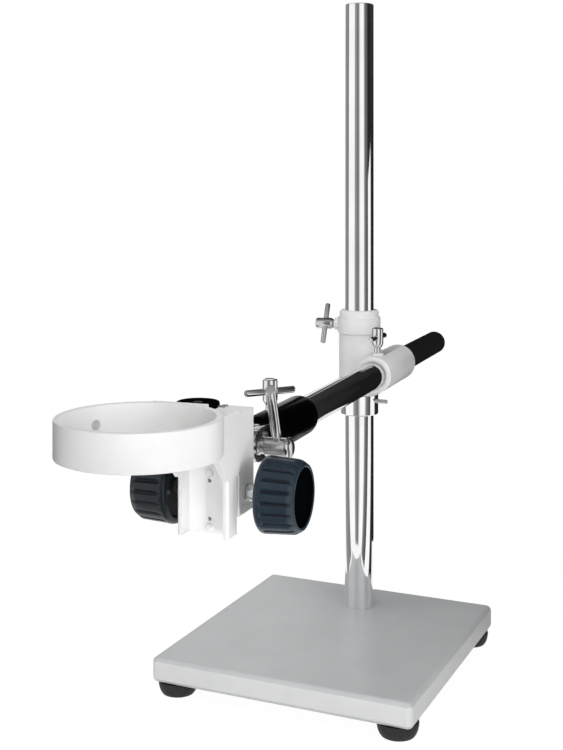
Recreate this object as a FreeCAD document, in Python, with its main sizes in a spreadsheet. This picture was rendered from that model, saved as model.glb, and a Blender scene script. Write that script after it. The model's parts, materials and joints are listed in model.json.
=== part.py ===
import FreeCAD, Part
import math
import os
import re
import Sketcher
from FreeCAD import Placement, Rotation, Vector

# Articulated arm stand: a weighted base, a column, a cross clamp with a boom,
# and a tilting rack-and-pinion focus carrier that holds a round head ring.
# Millimetres, +Z up. The origin is on the column axis at bench level, and the
# boom reaches towards -Y. The whole arm is turned a little about the column.

doc = FreeCAD.newDocument("arm_stand")
sheet = doc.addObject("Spreadsheet::Sheet", "Sizes")

driving = {
    # Base plate and feet
    "base_width": 210, "base_depth": 222, "base_thickness": 19.5,
    "base_corner": 4.5, "base_edge": 1.6, "column_setback": 64,
    "foot_radius": 15.4, "foot_tread_radius": 11.5, "foot_height": 10.5,
    "foot_inset": 15.5, "foot_recess_radius": 6, "foot_recess_depth": 4.5,
    "foot_screw_radius": 2.5, "foot_screw_reach": 10,
    "foot_screw_head_radius": 4.6, "foot_screw_head_height": 2.8,
    # Column and its fixing
    "column_radius": 12.5, "column_rise": 519, "rod_chamfer": 1,
    "spigot_radius": 8, "spigot_depth": 5.5, "seat_recess": 1,
    "column_bolt_radius": 5, "column_bolt_reach": 28,
    "bolt_head_radius": 8, "bolt_head_height": 6.5, "bolt_socket_radius": 4,
    "bolt_socket_depth": 4, "washer_radius": 10.5, "washer_thickness": 2,
    "counterbore_radius": 12, "counterbore_depth": 9.5,
    # Clearances
    "running_clearance": 0.05, "seat_clearance": 0.05, "tip_clearance": 0.3,
    # Safety collar under the clamp
    "collar_radius": 16.5, "collar_height": 17.3, "collar_bottom": 195.7,
    "collar_chamfer": 0.8, "collar_pin_height": 11.5, "collar_pin_radius": 1.75,
    "collar_pin_reach": 25.5, "collar_thread_radius": 2,
    # Cross clamp casting
    "arm_turn": 4.06, "hub_radius": 17.4, "hub_rise": 52.6,
    "band_radius": 18.4, "band_height": 13.2, "band_round": 1.2,
    "neck_radius": 16.9, "neck_height": 6.4, "neck_round": 2.2,
    "tube_radius": 15.2, "tube_front": 53.2, "tube_rear": 29.3, "tube_round": 1.2,
    "web_round": 2.5,
    "bush_wall": 1.4, "bush_recess": 0.8, "boss_radius": 5.2,
    "boss_reach": 21.4, "tube_boss_height": 16.7, "tube_screw_place": 38.9,
    # Boom rod and arm end sleeve
    "boom_offset": 27.4, "boom_rise": 24.45, "boom_radius": 10.5,
    "boom_rear": 170, "boom_chamfer": 2.2, "boom_front": 300,
    "sleeve_radius": 13.5, "sleeve_rear": 233, "sleeve_front": 315,
    "sleeve_round": 1.5, "sleeve_screw_place": 290.3,
    "stem_radius": 6, "stem_length": 11,
    # T-bar clamp screws
    "screw_radius": 2.9, "screw_head_radius": 4.8, "screw_head_length": 16,
    "screw_head_gap": 1.3, "screw_cone": 1.2, "bar_radius": 2.2,
    "bar_length": 35.5, "bar_round": 0.7,
    "column_bar_turn": 114, "boom_bar_turn": 86, "sleeve_bar_turn": 50,
    "tube_screw_lift": 3.4, "sleeve_screw_lift": 2.5,
    # Tilt knuckle
    "fork_reach": 18, "fork_half_width": 9.3, "fork_half_height": 10,
    "fork_end_radius": 9.6, "fork_slot": 8, "fork_slot_floor": 4,
    "tongue_thickness": 7.7, "tongue_radius": 8.8, "tilt_bolt_radius": 4,
    "tilt_head_radius": 6.4, "tilt_head_length": 4.5,
    "flange_thickness": 4, "flange_half_width": 12, "flange_half_height": 16,
    "flange_screw_radius": 1.9, "flange_screw_reach": 9,
    "flange_screw_spread": 8, "flange_screw_rise": 12,
    "flange_head_radius": 3.2, "flange_head_length": 3.4,
    "set_screw_radius": 2, "set_screw_rise": 5, "set_screw_setback": 8,
    # Clamp nut and lever
    "nut_neck_radius": 4.6, "nut_neck_length": 4.6, "nut_radius": 5.9,
    "nut_length": 14, "nut_dome_radius": 6.7, "nut_dome_length": 3.2,
    "lever_radius": 3.05, "lever_length": 41.3, "lever_lean": 20.3,
    "lever_place": 12,
    # Pinion housing
    "tongue_reach": 24.5, "housing_depth": 23, "housing_half_width": 15.5,
    "housing_drop": 29.7, "housing_rise": 57.7, "housing_round": 0.9,
    "pinion_setback": 13.5, "pinion_drop": 17.9,
    "bush_flange_radius": 7.4, "bush_seat": 11.3, "bush_radius": 4.9,
    "bush_end": 25.6, "stop_screw_radius": 1.3, "stop_screw_height": 1,
    "stop_screw_reach": 8, "stop_screw_aside": 1.4, "stop_screw_setback": 3.2,
    # Rack and pinion
    "tooth_module": 1, "pinion_teeth": 12, "pinion_width": 7,
    "shaft_radius": 3.5, "shaft_half_length": 47, "shaft_shift": 1.3, "rack_width": 8,
    "rack_depth": 5.5, "rack_lift": 2, "rack_length": 60,
    "pinion_addendum": 0.8, "rack_addendum": 0.7, "tooth_root": 1.05,
    "tooth_backlash": 0.14,
    # Focus knobs
    "knob_place": 26.3, "knob_length": 23.6, "knob_inner_radius": 21.6,
    "knob_outer_radius": 20.6, "knob_rim_radius": 17.6, "knob_bevel": 3.2,
    "knob_recess_radius": 16.6, "knob_recess_depth": 3, "knob_flutes": 20,
    "flute_radius": 1.7, "flute_depth": 0.7, "knob_back_recess": 2.4,
    "knob_back_radius": 18, "knob_back_bevel": 2, "cap_radius": 11,
    "cap_thickness": 1.4,
    # Slide arm casting
    "slide_gap": 2.8, "channel_web": 2.7, "channel_depth": 10,
    "channel_half_width": 15.4, "channel_wall": 3.1, "channel_round": 1.4,
    "channel_drop": 38.5, "channel_height": 32.7, "cheek_half_width": 16,
    "cheek_height": 36.5, "cheek_step": 1.9, "cheek_gap": 0.5, "cheek_slope": 27.5,
    "arm_plate": 4, "flange_setback": 28, "flange_step": 1.4, "arm_boss_radius": 6,
    "dovetail_neck": 8, "dovetail_tail": 10.8, "dovetail_depth": 6.3,
    "dovetail_gap": 0.12, "dovetail_rise": 66, "fixing_radius": 1.5,
    "fixing_spread": 15, "dowel_radius": 1.1, "dowel_spread": 10.7,
    "fixing_rise": 18.4, "fixing_head_radius": 2.3, "fixing_head_length": 1.6,
    # Head ring
    "flange_length": 7.3, "ring_bore_radius": 38, "ring_wall": 4,
    "ring_drop": 7.6, "ring_rise": 19.3, "ring_edge": 0.7,
    "ring_screw_radius": 1.6, "ring_screw_turn": 11.5, "ring_screw_rise": 9.4,
    "ring_screw_reach": 9, "ring_screw_head_radius": 2.6,
    "ring_screw_head_depth": 1.5,
    # Head clamp screw
    "head_screw_turn": 152, "head_screw_radius": 2.5, "head_screw_rise": 9.2,
    "head_knob_radius": 6, "head_knob_length": 8, "head_knob_gap": 4,
    "head_screw_tip": 0.4,
    # Arm lock knob
    "lock_setback": 6, "lock_radius": 12, "lock_thickness": 3.4,
    "lock_rise": 3.7, "lock_dish": 0.8, "lock_pin_radius": 0.55,
    "lock_pin_length": 4, "lock_stud_radius": 2.5, "lock_stud_reach": 3.5,
}

# Places that follow from the driving dimensions
derived = {
    "base_bottom": "foot_height",
    "base_top": "foot_height + base_thickness",
    "column_seat": "base_top - seat_recess",
    "column_top": "base_top + column_rise",
    "hub_bottom": "collar_bottom + collar_height + running_clearance",
    "band_bottom": "hub_bottom + hub_rise",
    "band_top": "band_bottom + band_height",
    "hub_top": "band_top + neck_height",
    "column_bore": "column_radius + running_clearance",
    "boom_bore": "boom_radius + running_clearance",
    "tube_bore": "boom_bore + bush_wall + seat_clearance",
    "sleeve_wall_rear": "boom_front + tip_clearance",
    # Reaches along the arm, each from the one before it
    "tilt_reach": "sleeve_front + fork_reach",
    "housing_rear": "tilt_reach + tongue_reach",
    "housing_front": "housing_rear + housing_depth",
    "pinion_reach": "housing_rear + pinion_setback",
    "channel_back": "housing_front + slide_gap",
    "channel_floor": "channel_back + channel_web",
    "channel_front": "channel_floor + channel_depth",
    "cheek_rear": "housing_front + cheek_gap",
    "cheek_front": "channel_front + cheek_step",
    "cheek_slope_front": "cheek_front + cheek_slope",
    "arm_flange_rear": "channel_front + flange_setback",
    "lock_reach": "channel_front + lock_setback",
    "ring_outer_radius": "ring_bore_radius + ring_wall",
    "ring_reach": "arm_flange_rear + flange_length + ring_outer_radius",
    "dovetail_back": "channel_back - dovetail_depth",
    "pitch_radius": "tooth_module * pinion_teeth / 2",
    "rack_pitch_line": "pinion_reach + pitch_radius",
    # Heights, all from the boom's
    "boom_height": "hub_bottom + boom_rise",
    "housing_bottom": "boom_height - housing_drop",
    "housing_top": "housing_bottom + housing_rise",
    "pinion_height": "boom_height - pinion_drop",
    "channel_bottom": "boom_height - channel_drop",
    "rack_bottom": "channel_bottom + rack_lift",
    "fixing_height": "channel_bottom + fixing_rise",
    "cheek_bottom": "channel_bottom + channel_height",
    "arm_top": "cheek_bottom + cheek_height",
    "ring_bottom": "arm_top - ring_drop",
    "ring_top": "ring_bottom + ring_rise",
    "ring_screw_height": "ring_bottom + ring_screw_rise",
    "head_screw_height": "ring_bottom + head_screw_rise",
    "arm_flange_top": "ring_top - flange_step",
    "lock_bottom": "arm_top + lock_rise",
    "lock_top": "lock_bottom + lock_thickness",
}


def formula(text):
    """The text with each size turned into its cell in the sheet."""
    def swap(match):
        word = match.group()
        if word in derived:
            return "(" + formula(derived[word]) + ")"
        return "Sizes." + word if word in driving else word
    return re.sub(r"[A-Za-z_]\w*", swap, str(text))


def number(text):
    return float(sheet.evalExpression(formula(text)))


def fill_sheet():
    for row, (name, value) in enumerate(driving.items(), start=1):
        sheet.set(f"A{row}", name)
        sheet.set(f"B{row}", str(value))
        sheet.setAlias(f"B{row}", name)
    doc.recompute()


fill_sheet()
arm = Placement(Vector(), Rotation(Vector(0, 0, 1), number("arm_turn")))
pieces = []


def keep(piece, label, placement=None):
    """Names a finished sub-part and sets it in its place."""
    piece.Label = label
    if placement is not None:
        piece.Placement = placement
    pieces.append(piece)
    return piece


def at(x, y, z, axis=(0, 0, 1), turn=0):
    spin = Rotation(Vector(0, 0, 1), turn)
    facing = Rotation(Vector(0, 0, 1), Vector(*axis))
    return Placement(Vector(number(x), number(y), number(z)), facing * spin)


# Sketches and solid features


def new_body(name):
    return doc.addObject("PartDesign::Body", name)


def sketch_on(body, plane, offset="0"):
    sketch = body.newObject("Sketcher::SketchObject", "Outline")
    sketch.AttachmentSupport = (next(p for p in body.Origin.OriginFeatures if p.Role == plane), [""])
    sketch.MapMode = "FlatFace"
    sketch.setExpression("AttachmentOffset.Base.z", formula(offset))
    return sketch


def fix_point(sketch, geometry, point, x, y):
    """Holds a point of the sketch at x and y, which are formulas of sizes."""
    for kind, text, axis in (("DistanceX", x, -2), ("DistanceY", y, -1)):
        if str(text) == "0":
            sketch.addConstraint(Sketcher.Constraint("PointOnObject", geometry, point, axis))
        else:
            index = sketch.addConstraint(Sketcher.Constraint(kind, -1, 1, geometry, point, number(text)))
            sketch.setExpression(f"Constraints[{index}]", formula(text))


def draw_outline(sketch, corners):
    first = sketch.GeometryCount
    points = [Vector(number(x), number(y), 0) for x, y in corners]
    for here, after in zip(points, points[1:] + points[:1]):
        sketch.addGeometry(Part.LineSegment(here, after), False)
    for index, (x, y) in enumerate(corners):
        before = first + (index - 1) % len(corners)
        sketch.addConstraint(Sketcher.Constraint("Coincident", before, 2, first + index, 1))
        fix_point(sketch, first + index, 1, x, y)


def draw_box(sketch, left, low, right, high):
    draw_outline(sketch, [(left, low), (right, low), (right, high), (left, high)])


def draw_circle(sketch, x, y, radius):
    index = sketch.GeometryCount
    centre = Vector(number(x), number(y), 0)
    sketch.addGeometry(Part.Circle(centre, Vector(0, 0, 1), number(radius)), False)
    fix_point(sketch, index, 3, x, y)
    size = sketch.addConstraint(Sketcher.Constraint("Radius", index, number(radius)))
    sketch.setExpression(f"Constraints[{size}]", formula(radius))


def add_feature(body, kind, sketch):
    feature = body.newObject("PartDesign::" + kind, kind)
    feature.Profile = sketch
    return feature


def pad(body, sketch, length):
    feature = add_feature(body, "Pad", sketch)
    feature.setExpression("Length", formula(length))
    return feature


def cut_through(body, sketch):
    feature = add_feature(body, "Pocket", sketch)
    feature.Type = "ThroughAll"
    feature.SideType = "Symmetric"
    return feature


def cut_into(body, sketch, length, reverse=False):
    feature = add_feature(body, "Pocket", sketch)
    feature.Reversed = reverse
    feature.setExpression("Length", formula(length))
    return feature


def lathe(body, corners, kind="Revolution", plane="XZ_Plane", offset="0"):
    """Turns an outline of radius and height about the body's Z axis."""
    sketch = sketch_on(body, plane, offset)
    draw_outline(sketch, corners)
    feature = add_feature(body, kind, sketch)
    feature.ReferenceAxis = (sketch, ["V_Axis"])
    feature.Angle = 360
    return feature


def turned(name, corners, label, placement):
    body = new_body(name)
    lathe(body, corners)
    return keep(body, label, placement)


def dress(body, kind, edges, size):
    """Rounds or chamfers the edges of the body's last feature."""
    doc.recompute()
    base = body.Tip
    names = [f"Edge{i + 1}" for i, edge in enumerate(base.Shape.Edges) if edges(edge)]
    feature = body.newObject("PartDesign::" + kind, kind)
    feature.Base = (base, names)
    feature.setExpression("Radius" if kind == "Fillet" else "Size", formula(size))
    return feature


def is_upright(edge):
    box = edge.BoundBox
    return box.XLength < 0.01 and box.YLength < 0.01 and box.ZLength > 1


def level_at(height):
    def test(edge):
        box = edge.BoundBox
        return box.ZLength < 0.01 and abs(box.ZMax - number(height)) < 0.01
    return test


def cylinder(name, radius, length, placement):
    part = doc.addObject("Part::Cylinder", name)
    part.setExpression("Radius", formula(radius))
    part.setExpression("Height", formula(length))
    part.Placement = placement
    return part


def fused(name, *parts):
    joined = doc.addObject("Part::MultiFuse", name)
    joined.Shapes = list(parts)
    return joined


def grouped(name, parts):
    group = doc.addObject("Part::Compound", name)
    group.Links = list(parts)
    return group


def cut(name, base, *tools):
    tool = tools[0] if len(tools) == 1 else fused(name + "Tools", *tools)
    result = doc.addObject("Part::Cut", name)
    result.Base = base
    result.Tool = tool
    return result


# Base


def foot_places():
    half = "base_width / 2 - foot_inset"
    front = "-column_setback - base_depth / 2 + foot_inset"
    rear = "-column_setback + base_depth / 2 - foot_inset"
    return [(f"{side} * ({half})", end) for side in (-1, 1) for end in (front, rear)]


def make_base_plate():
    body = new_body("BasePlate")
    plan = sketch_on(body, "XY_Plane", "base_bottom")
    front, rear = "-column_setback - base_depth / 2", "-column_setback + base_depth / 2"
    draw_box(plan, "-base_width / 2", front, "base_width / 2", rear)
    pad(body, plan, "base_thickness")
    dress(body, "Fillet", is_upright, "base_corner")
    dress(body, "Fillet", level_at("base_top"), "base_edge")
    dress(body, "Chamfer", level_at("base_bottom"), "base_edge / 2")
    socket = [("0", "base_bottom - 1"), ("counterbore_radius", "base_bottom - 1"),
              ("counterbore_radius", "base_bottom + counterbore_depth"),
              ("column_bolt_radius + 0.5", "base_bottom + counterbore_depth"),
              ("column_bolt_radius + 0.5", "base_top - spigot_depth"),
              ("spigot_radius + seat_clearance", "base_top - spigot_depth"),
              ("spigot_radius + seat_clearance", "column_seat"), ("column_bore", "column_seat"),
              ("column_bore", "base_top + 1"), ("0", "base_top + 1")]
    lathe(body, socket, "Groove")
    holes = sketch_on(body, "XY_Plane", "base_bottom")
    for x, y in foot_places():
        draw_circle(holes, x, y, "foot_screw_radius + seat_clearance")
    cut_into(body, holes, "foot_screw_reach + 1", True)
    keep(body, "base_plate")


def make_feet():
    feet, screws = [], []
    for x, y in foot_places():
        dome = new_body("Foot")
        lathe(dome, [("0", "foot_recess_depth"), ("foot_recess_radius", "foot_recess_depth"),
                     ("foot_recess_radius", "0"), ("foot_tread_radius", "0"),
                     ("foot_radius - 1.2", "foot_height * 0.4"), ("foot_radius", "foot_height * 0.8"),
                     ("foot_radius", "foot_height"), ("0", "foot_height")])
        hole = sketch_on(dome, "XY_Plane")
        draw_circle(hole, "0", "0", "foot_screw_radius + seat_clearance")
        cut_through(dome, hole)
        dome.Placement = at(x, y, "0")
        feet.append(dome)
        head_low = "foot_recess_depth - foot_screw_head_height"
        screw = new_body("FootScrew")
        lathe(screw, [("0", head_low), ("foot_screw_head_radius - 1", head_low),
                      ("foot_screw_head_radius", "foot_recess_depth - 1"),
                      ("foot_screw_head_radius", "foot_recess_depth"),
                      ("foot_screw_radius", "foot_recess_depth"),
                      ("foot_screw_radius", "foot_height + foot_screw_reach"),
                      ("0", "foot_height + foot_screw_reach")])
        screw.Placement = at(x, y, "0")
        screws.append(screw)
    keep(grouped("Feet", feet), "rubber_feet")
    keep(grouped("FootScrews", screws), "foot_screws")


def make_column():
    foot, seat = "base_top - spigot_depth", "column_seat"
    tapped = f"{foot} + column_bolt_reach"
    turned("Column", [("column_bolt_radius + seat_clearance", foot), ("spigot_radius", foot),
                      ("spigot_radius", seat), ("column_radius", seat),
                      ("column_radius", "column_top - rod_chamfer"),
                      ("column_radius - rod_chamfer", "column_top"), ("0", "column_top"),
                      ("0", f"{tapped} + 3"), ("column_bolt_radius + seat_clearance", tapped)],
           "column", at("0", "0", "0"))
    web = "base_bottom + counterbore_depth"
    turned("Washer", [("column_bolt_radius + 0.4", f"{web} - washer_thickness"),
                      ("washer_radius", f"{web} - washer_thickness"), ("washer_radius", web),
                      ("column_bolt_radius + 0.4", web)], "column_washer", at("0", "0", "0"))
    head_top = f"{web} - washer_thickness"
    head_low = f"{head_top} - bolt_head_height"
    turned("ColumnBolt", [("0", f"{head_low} + bolt_socket_depth"),
                          ("bolt_socket_radius", f"{head_low} + bolt_socket_depth"),
                          ("bolt_socket_radius", head_low), ("bolt_head_radius", head_low),
                          ("bolt_head_radius", head_top), ("column_bolt_radius", head_top),
                          ("column_bolt_radius", f"{tapped} - 1"), ("0", f"{tapped} - 1")],
           "column_bolt", at("0", "0", "0"))


# Safety collar


def make_collar():
    body = new_body("Collar")
    low, high = "collar_bottom", "collar_bottom + collar_height"
    lathe(body, [("column_bore", low), ("collar_radius - collar_chamfer", low),
                 ("collar_radius", f"{low} + collar_chamfer"),
                 ("collar_radius", f"{high} - collar_chamfer"),
                 ("collar_radius - collar_chamfer", high), ("column_bore", high)])
    hole = sketch_on(body, "YZ_Plane")
    draw_circle(hole, "0", "collar_bottom + collar_pin_height", "collar_thread_radius + seat_clearance")
    cut_into(body, hole, "collar_radius * 2", True)
    keep(body, "safety_collar")
    tip = "column_radius + tip_clearance"
    turned("CollarScrew", [("0", tip), ("collar_thread_radius", tip),
                           ("collar_thread_radius", "collar_radius - 1"),
                           ("collar_pin_radius", "collar_radius + 0.5"),
                           ("collar_pin_radius", "collar_pin_reach - 0.5"),
                           ("collar_pin_radius - 0.5", "collar_pin_reach"), ("0", "collar_pin_reach")],
           "collar_screw", at("0", "0", "collar_bottom + collar_pin_height", (1, 0, 0)))


# Cross clamp


def is_web_edge(edge):
    """The curve on which the boom tube runs into the hub."""
    return edge.Curve.TypeId not in ("Part::GeomCircle", "Part::GeomLine")


def make_cross_hub():
    body = new_body("CrossHub")
    lathe(body, [("0", "hub_bottom"), ("hub_radius", "hub_bottom"), ("hub_radius", "band_bottom"),
                 ("band_radius", "band_bottom"), ("band_radius", "band_top"),
                 ("neck_radius", "band_top"), ("neck_radius", "hub_top"), ("0", "hub_top")])
    tube = sketch_on(body, "XZ_Plane", "-tube_rear")
    draw_circle(tube, "boom_offset", "boom_height", "tube_radius")
    pad(body, tube, "tube_front + tube_rear")
    dress(body, "Fillet", is_web_edge, "web_round")
    boss = sketch_on(body, "YZ_Plane", "-boss_reach")
    draw_circle(boss, "0", "band_bottom + band_height / 2", "boss_radius")
    pad(body, boss, "boss_reach - column_radius")
    top_boss = sketch_on(body, "XY_Plane", "boom_height")
    draw_circle(top_boss, "boom_offset", "-tube_screw_place", "boss_radius")
    pad(body, top_boss, "tube_boss_height")
    dress(body, "Fillet", level_at("hub_top"), "neck_round")
    for y in ("-tube_front", "tube_rear"):
        dress(body, "Fillet", lambda edge: abs(edge.BoundBox.YMin - number(y)) < 0.01
              and edge.BoundBox.YLength < 0.01, "tube_round")
    bore = sketch_on(body, "XY_Plane")
    draw_circle(bore, "0", "0", "column_bore")
    cut_through(body, bore)
    tube_bore = sketch_on(body, "XZ_Plane")
    draw_circle(tube_bore, "boom_offset", "boom_height", "tube_bore")
    cut_through(body, tube_bore)
    screw = sketch_on(body, "YZ_Plane")
    draw_circle(screw, "0", "band_bottom + band_height / 2", "screw_radius + seat_clearance")
    cut_into(body, screw, "boss_reach + 1")
    tapped = sketch_on(body, "XY_Plane", "boom_height")
    draw_circle(tapped, "boom_offset", "-tube_screw_place", "screw_radius + seat_clearance")
    cut_into(body, tapped, "tube_boss_height + 1", True)
    keep(body, "cross_hub", arm)


def make_boom_bush():
    body = new_body("BoomBush")
    ring = sketch_on(body, "XZ_Plane", "-tube_rear + bush_recess")
    draw_circle(ring, "boom_offset", "boom_height", "boom_bore + bush_wall")
    draw_circle(ring, "boom_offset", "boom_height", "boom_bore")
    pad(body, ring, "tube_front + tube_rear - 2 * bush_recess")
    hole = sketch_on(body, "XY_Plane", "boom_height")
    draw_circle(hole, "boom_offset", "-tube_screw_place", "screw_radius + seat_clearance")
    cut_into(body, hole, "tube_boss_height", True)
    keep(body, "boom_bush", arm)


def make_t_screw(label, tip, head, place):
    """A clamp screw along its local Z, with a tommy bar pressed through its head."""
    end = f"{head} + screw_head_length"
    body = new_body("ClampScrew")
    lathe(body, [("0", tip), ("screw_radius - 0.8", tip), ("screw_radius", f"{tip} + 0.8"),
                 ("screw_radius", head), ("screw_head_radius - screw_cone", head),
                 ("screw_head_radius", f"{head} + screw_cone * 2"),
                 ("screw_head_radius", f"{end} - screw_cone / 2"),
                 ("screw_head_radius - screw_cone / 2", end), ("0", end)])
    cross = sketch_on(body, "YZ_Plane")
    draw_circle(cross, "0", f"{head} + screw_head_length / 2", "bar_radius + seat_clearance")
    cut_through(body, cross)
    keep(body, label, place)
    half = "bar_length / 2"
    bar = new_body("TommyBar")
    lathe(bar, [("0", f"-{half}"), ("bar_radius - bar_round", f"-{half}"),
                ("bar_radius", f"-{half} + bar_round"), ("bar_radius", f"{half} - bar_round"),
                ("bar_radius - bar_round", half), ("0", half)])
    middle = Placement(Vector(0, 0, number(f"{head} + screw_head_length / 2")),
                       Rotation(Vector(0, 1, 0), 90))
    keep(bar, label.replace("screw", "tommy_bar"), place * middle)


def make_clamp_screws():
    level = "band_bottom + band_height / 2"
    sideways = arm * at("0", "0", level, (-1, 0, 0), number("column_bar_turn + 90"))
    make_t_screw("column_clamp_screw", "column_radius + tip_clearance",
                 "boss_reach + screw_head_gap", sideways)
    upright = arm * at("boom_offset", "-tube_screw_place", "boom_height", (0, 0, 1),
                       number("boom_bar_turn"))
    make_t_screw("boom_clamp_screw", "boom_radius + tip_clearance",
                 "tube_boss_height + screw_head_gap + tube_screw_lift", upright)
    on_sleeve = arm * at("boom_offset", "-sleeve_screw_place", "boom_height", (0, 0, 1),
                         number("sleeve_bar_turn"))
    make_t_screw("sleeve_clamp_screw", "boom_radius + tip_clearance",
                 "sleeve_radius + screw_head_gap + sleeve_screw_lift", on_sleeve)


# Boom and arm end


def make_boom():
    length = "boom_front + boom_rear"
    turned("Boom", [("0", "0"), ("boom_radius - rod_chamfer", "0"), ("boom_radius", "rod_chamfer"),
                    ("boom_radius", f"{length} - boom_chamfer"),
                    ("boom_radius - boom_chamfer * 0.3", f"{length} - boom_chamfer * 0.3"),
                    ("boom_radius - boom_chamfer", length), ("0", length)], "boom_rod",
           arm * at("boom_offset", "-boom_front", "boom_height", (0, 1, 0)))


def make_sleeve():
    body = new_body("Sleeve")
    long = "sleeve_front - sleeve_rear"
    wall = "sleeve_front - sleeve_wall_rear"
    lathe(body, [("stem_radius + seat_clearance", "0"), ("sleeve_radius - sleeve_round", "0"),
                 ("sleeve_radius", "sleeve_round"), ("sleeve_radius", f"{long} - sleeve_round"),
                 ("sleeve_radius - sleeve_round", long), ("boom_bore", long), ("boom_bore", wall),
                 ("stem_radius + seat_clearance", wall)])
    hole = sketch_on(body, "XZ_Plane")
    draw_circle(hole, "0", "sleeve_front - sleeve_screw_place", "screw_radius + seat_clearance")
    cut_into(body, hole, "sleeve_radius * 2", True)
    place = Placement(Vector(number("boom_offset"), -number("sleeve_front"), number("boom_height")),
                      Rotation(Vector(1, 0, 0), -90))
    keep(body, "arm_sleeve", arm * place)


def make_fork():
    body = new_body("Fork")
    side = sketch_on(body, "YZ_Plane", "-fork_half_width")
    high = "fork_half_height"
    draw_box(side, "-tilt_reach", f"-{high}", "-sleeve_front", high)
    pad(body, side, "fork_half_width * 2")
    round_end = sketch_on(body, "YZ_Plane", "-fork_half_width")
    draw_circle(round_end, "-tilt_reach", "0", "fork_end_radius")
    pad(body, round_end, "fork_half_width * 2")
    stem = sketch_on(body, "XZ_Plane", "sleeve_front - stem_length")
    draw_circle(stem, "0", "0", "stem_radius")
    pad(body, stem, "stem_length + 1")
    slot = sketch_on(body, "XY_Plane")
    draw_box(slot, "-fork_slot / 2", "-tilt_reach - fork_end_radius - 1", "fork_slot / 2",
             "-sleeve_front - fork_slot_floor")
    cut_through(body, slot)
    hole = sketch_on(body, "YZ_Plane")
    draw_circle(hole, "-tilt_reach", "0", "tilt_bolt_radius + seat_clearance")
    cut_through(body, hole)
    place = arm * Placement(Vector(number("boom_offset"), 0, number("boom_height")), Rotation())
    keep(body, "tilt_fork", place)
    screw = cylinder("ForkScrew", "set_screw_radius", "1.2",
                     arm * at("boom_offset + fork_half_width", "-sleeve_front - set_screw_setback",
                              "boom_height + set_screw_rise", (1, 0, 0)))
    keep(screw, "fork_set_screw")


def make_tilt_bolt():
    head = "-fork_half_width - tilt_head_length"
    turned("TiltBolt", [("0", head), ("tilt_head_radius - 1.5", head),
                        ("tilt_head_radius", f"{head} + 1.5"), ("tilt_head_radius", "-fork_half_width"),
                        ("tilt_bolt_radius", "-fork_half_width"),
                        ("tilt_bolt_radius", "fork_half_width + nut_neck_length + 7"),
                        ("0", "fork_half_width + nut_neck_length + 7")], "tilt_bolt",
           arm * at("boom_offset", "-tilt_reach", "boom_height", (1, 0, 0)))


def make_tongue():
    body = new_body("Tongue")
    side = sketch_on(body, "YZ_Plane", "-tongue_thickness / 2")
    draw_box(side, "-housing_rear + flange_thickness / 2", "-tongue_radius", "-tilt_reach", "tongue_radius")
    pad(body, side, "tongue_thickness")
    eye = sketch_on(body, "YZ_Plane", "-tongue_thickness / 2")
    draw_circle(eye, "-tilt_reach", "0", "tongue_radius")
    pad(body, eye, "tongue_thickness")
    plate = sketch_on(body, "XZ_Plane", "housing_rear - flange_thickness")
    draw_box(plate, "-flange_half_width", "-flange_half_height", "flange_half_width", "flange_half_height")
    pad(body, plate, "flange_thickness")
    hole = sketch_on(body, "YZ_Plane")
    draw_circle(hole, "-tilt_reach", "0", "tilt_bolt_radius + running_clearance")
    cut_through(body, hole)
    fixings = sketch_on(body, "XZ_Plane")
    for x, z in flange_places():
        draw_circle(fixings, x, z, "flange_screw_radius + seat_clearance")
    cut_through(body, fixings)
    place = arm * Placement(Vector(number("boom_offset"), 0, number("boom_height")), Rotation())
    keep(body, "tilt_tongue", place)
    screws = []
    for x, z in flange_places():
        start = "-housing_rear + flange_thickness"
        screw = new_body("FlangeScrew")
        lathe(screw, [("0", "-flange_screw_reach"), ("flange_screw_radius", "-flange_screw_reach"),
                      ("flange_screw_radius", "0"), ("flange_head_radius", "0"),
                      ("flange_head_radius", "flange_head_length"),
                      ("flange_head_radius / 2", "flange_head_length"),
                      ("flange_head_radius / 2", "flange_head_length / 2"),
                      ("0", "flange_head_length / 2")])
        screw.Placement = at(f"boom_offset + {x}", start, f"boom_height + {z}", (0, 1, 0))
        screws.append(screw)
    keep(grouped("FlangeScrews", screws), "tongue_screws", arm)


def flange_places():
    return [(f"{side} * flange_screw_spread", f"{end} * flange_screw_rise")
            for side in (-1, 1) for end in (-1, 1)]


def make_clamp_lever():
    neck = "fork_half_width + running_clearance"
    shoulder = f"{neck} + nut_neck_length"
    dome = f"{shoulder} + nut_length"
    nut = new_body("ClampNut")
    lathe(nut, [("tilt_bolt_radius + running_clearance", neck), ("nut_neck_radius", neck),
                ("nut_neck_radius", shoulder), ("nut_radius", f"{shoulder} + 0.8"),
                ("nut_radius", dome), ("nut_dome_radius", f"{dome} + 0.4"),
                ("nut_dome_radius", f"{dome} + nut_dome_length * 0.5"),
                ("nut_dome_radius * 0.7", f"{dome} + nut_dome_length"),
                ("0", f"{dome} + nut_dome_length"),
                ("0", f"{neck} + nut_neck_length + 7.5"),
                ("tilt_bolt_radius + running_clearance", f"{neck} + nut_neck_length + 7.5")])
    place = arm * at("boom_offset", "-tilt_reach", "boom_height", (1, 0, 0))
    keep(nut, "clamp_nut", place)
    lean = math.radians(number("lever_lean"))
    start = number("nut_radius - 0.3")
    direction = (0, -math.sin(lean), math.cos(lean))
    foot = Vector(number("boom_offset + fork_half_width + lever_place"),
                  -number("tilt_reach") + direction[1] * start,
                  number("boom_height") + direction[2] * start)
    tall = f"lever_length - {start}"
    lever = new_body("Lever")
    lathe(lever, [("0", "0"), ("lever_radius - 0.8", "0"), ("lever_radius", "3"),
                  ("lever_radius", f"{tall} - 0.6"), ("lever_radius - 0.6", tall), ("0", tall)])
    keep(lever, "clamp_lever", arm * Placement(foot, Rotation(Vector(0, 0, 1), Vector(*direction))))


# Focus housing


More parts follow.
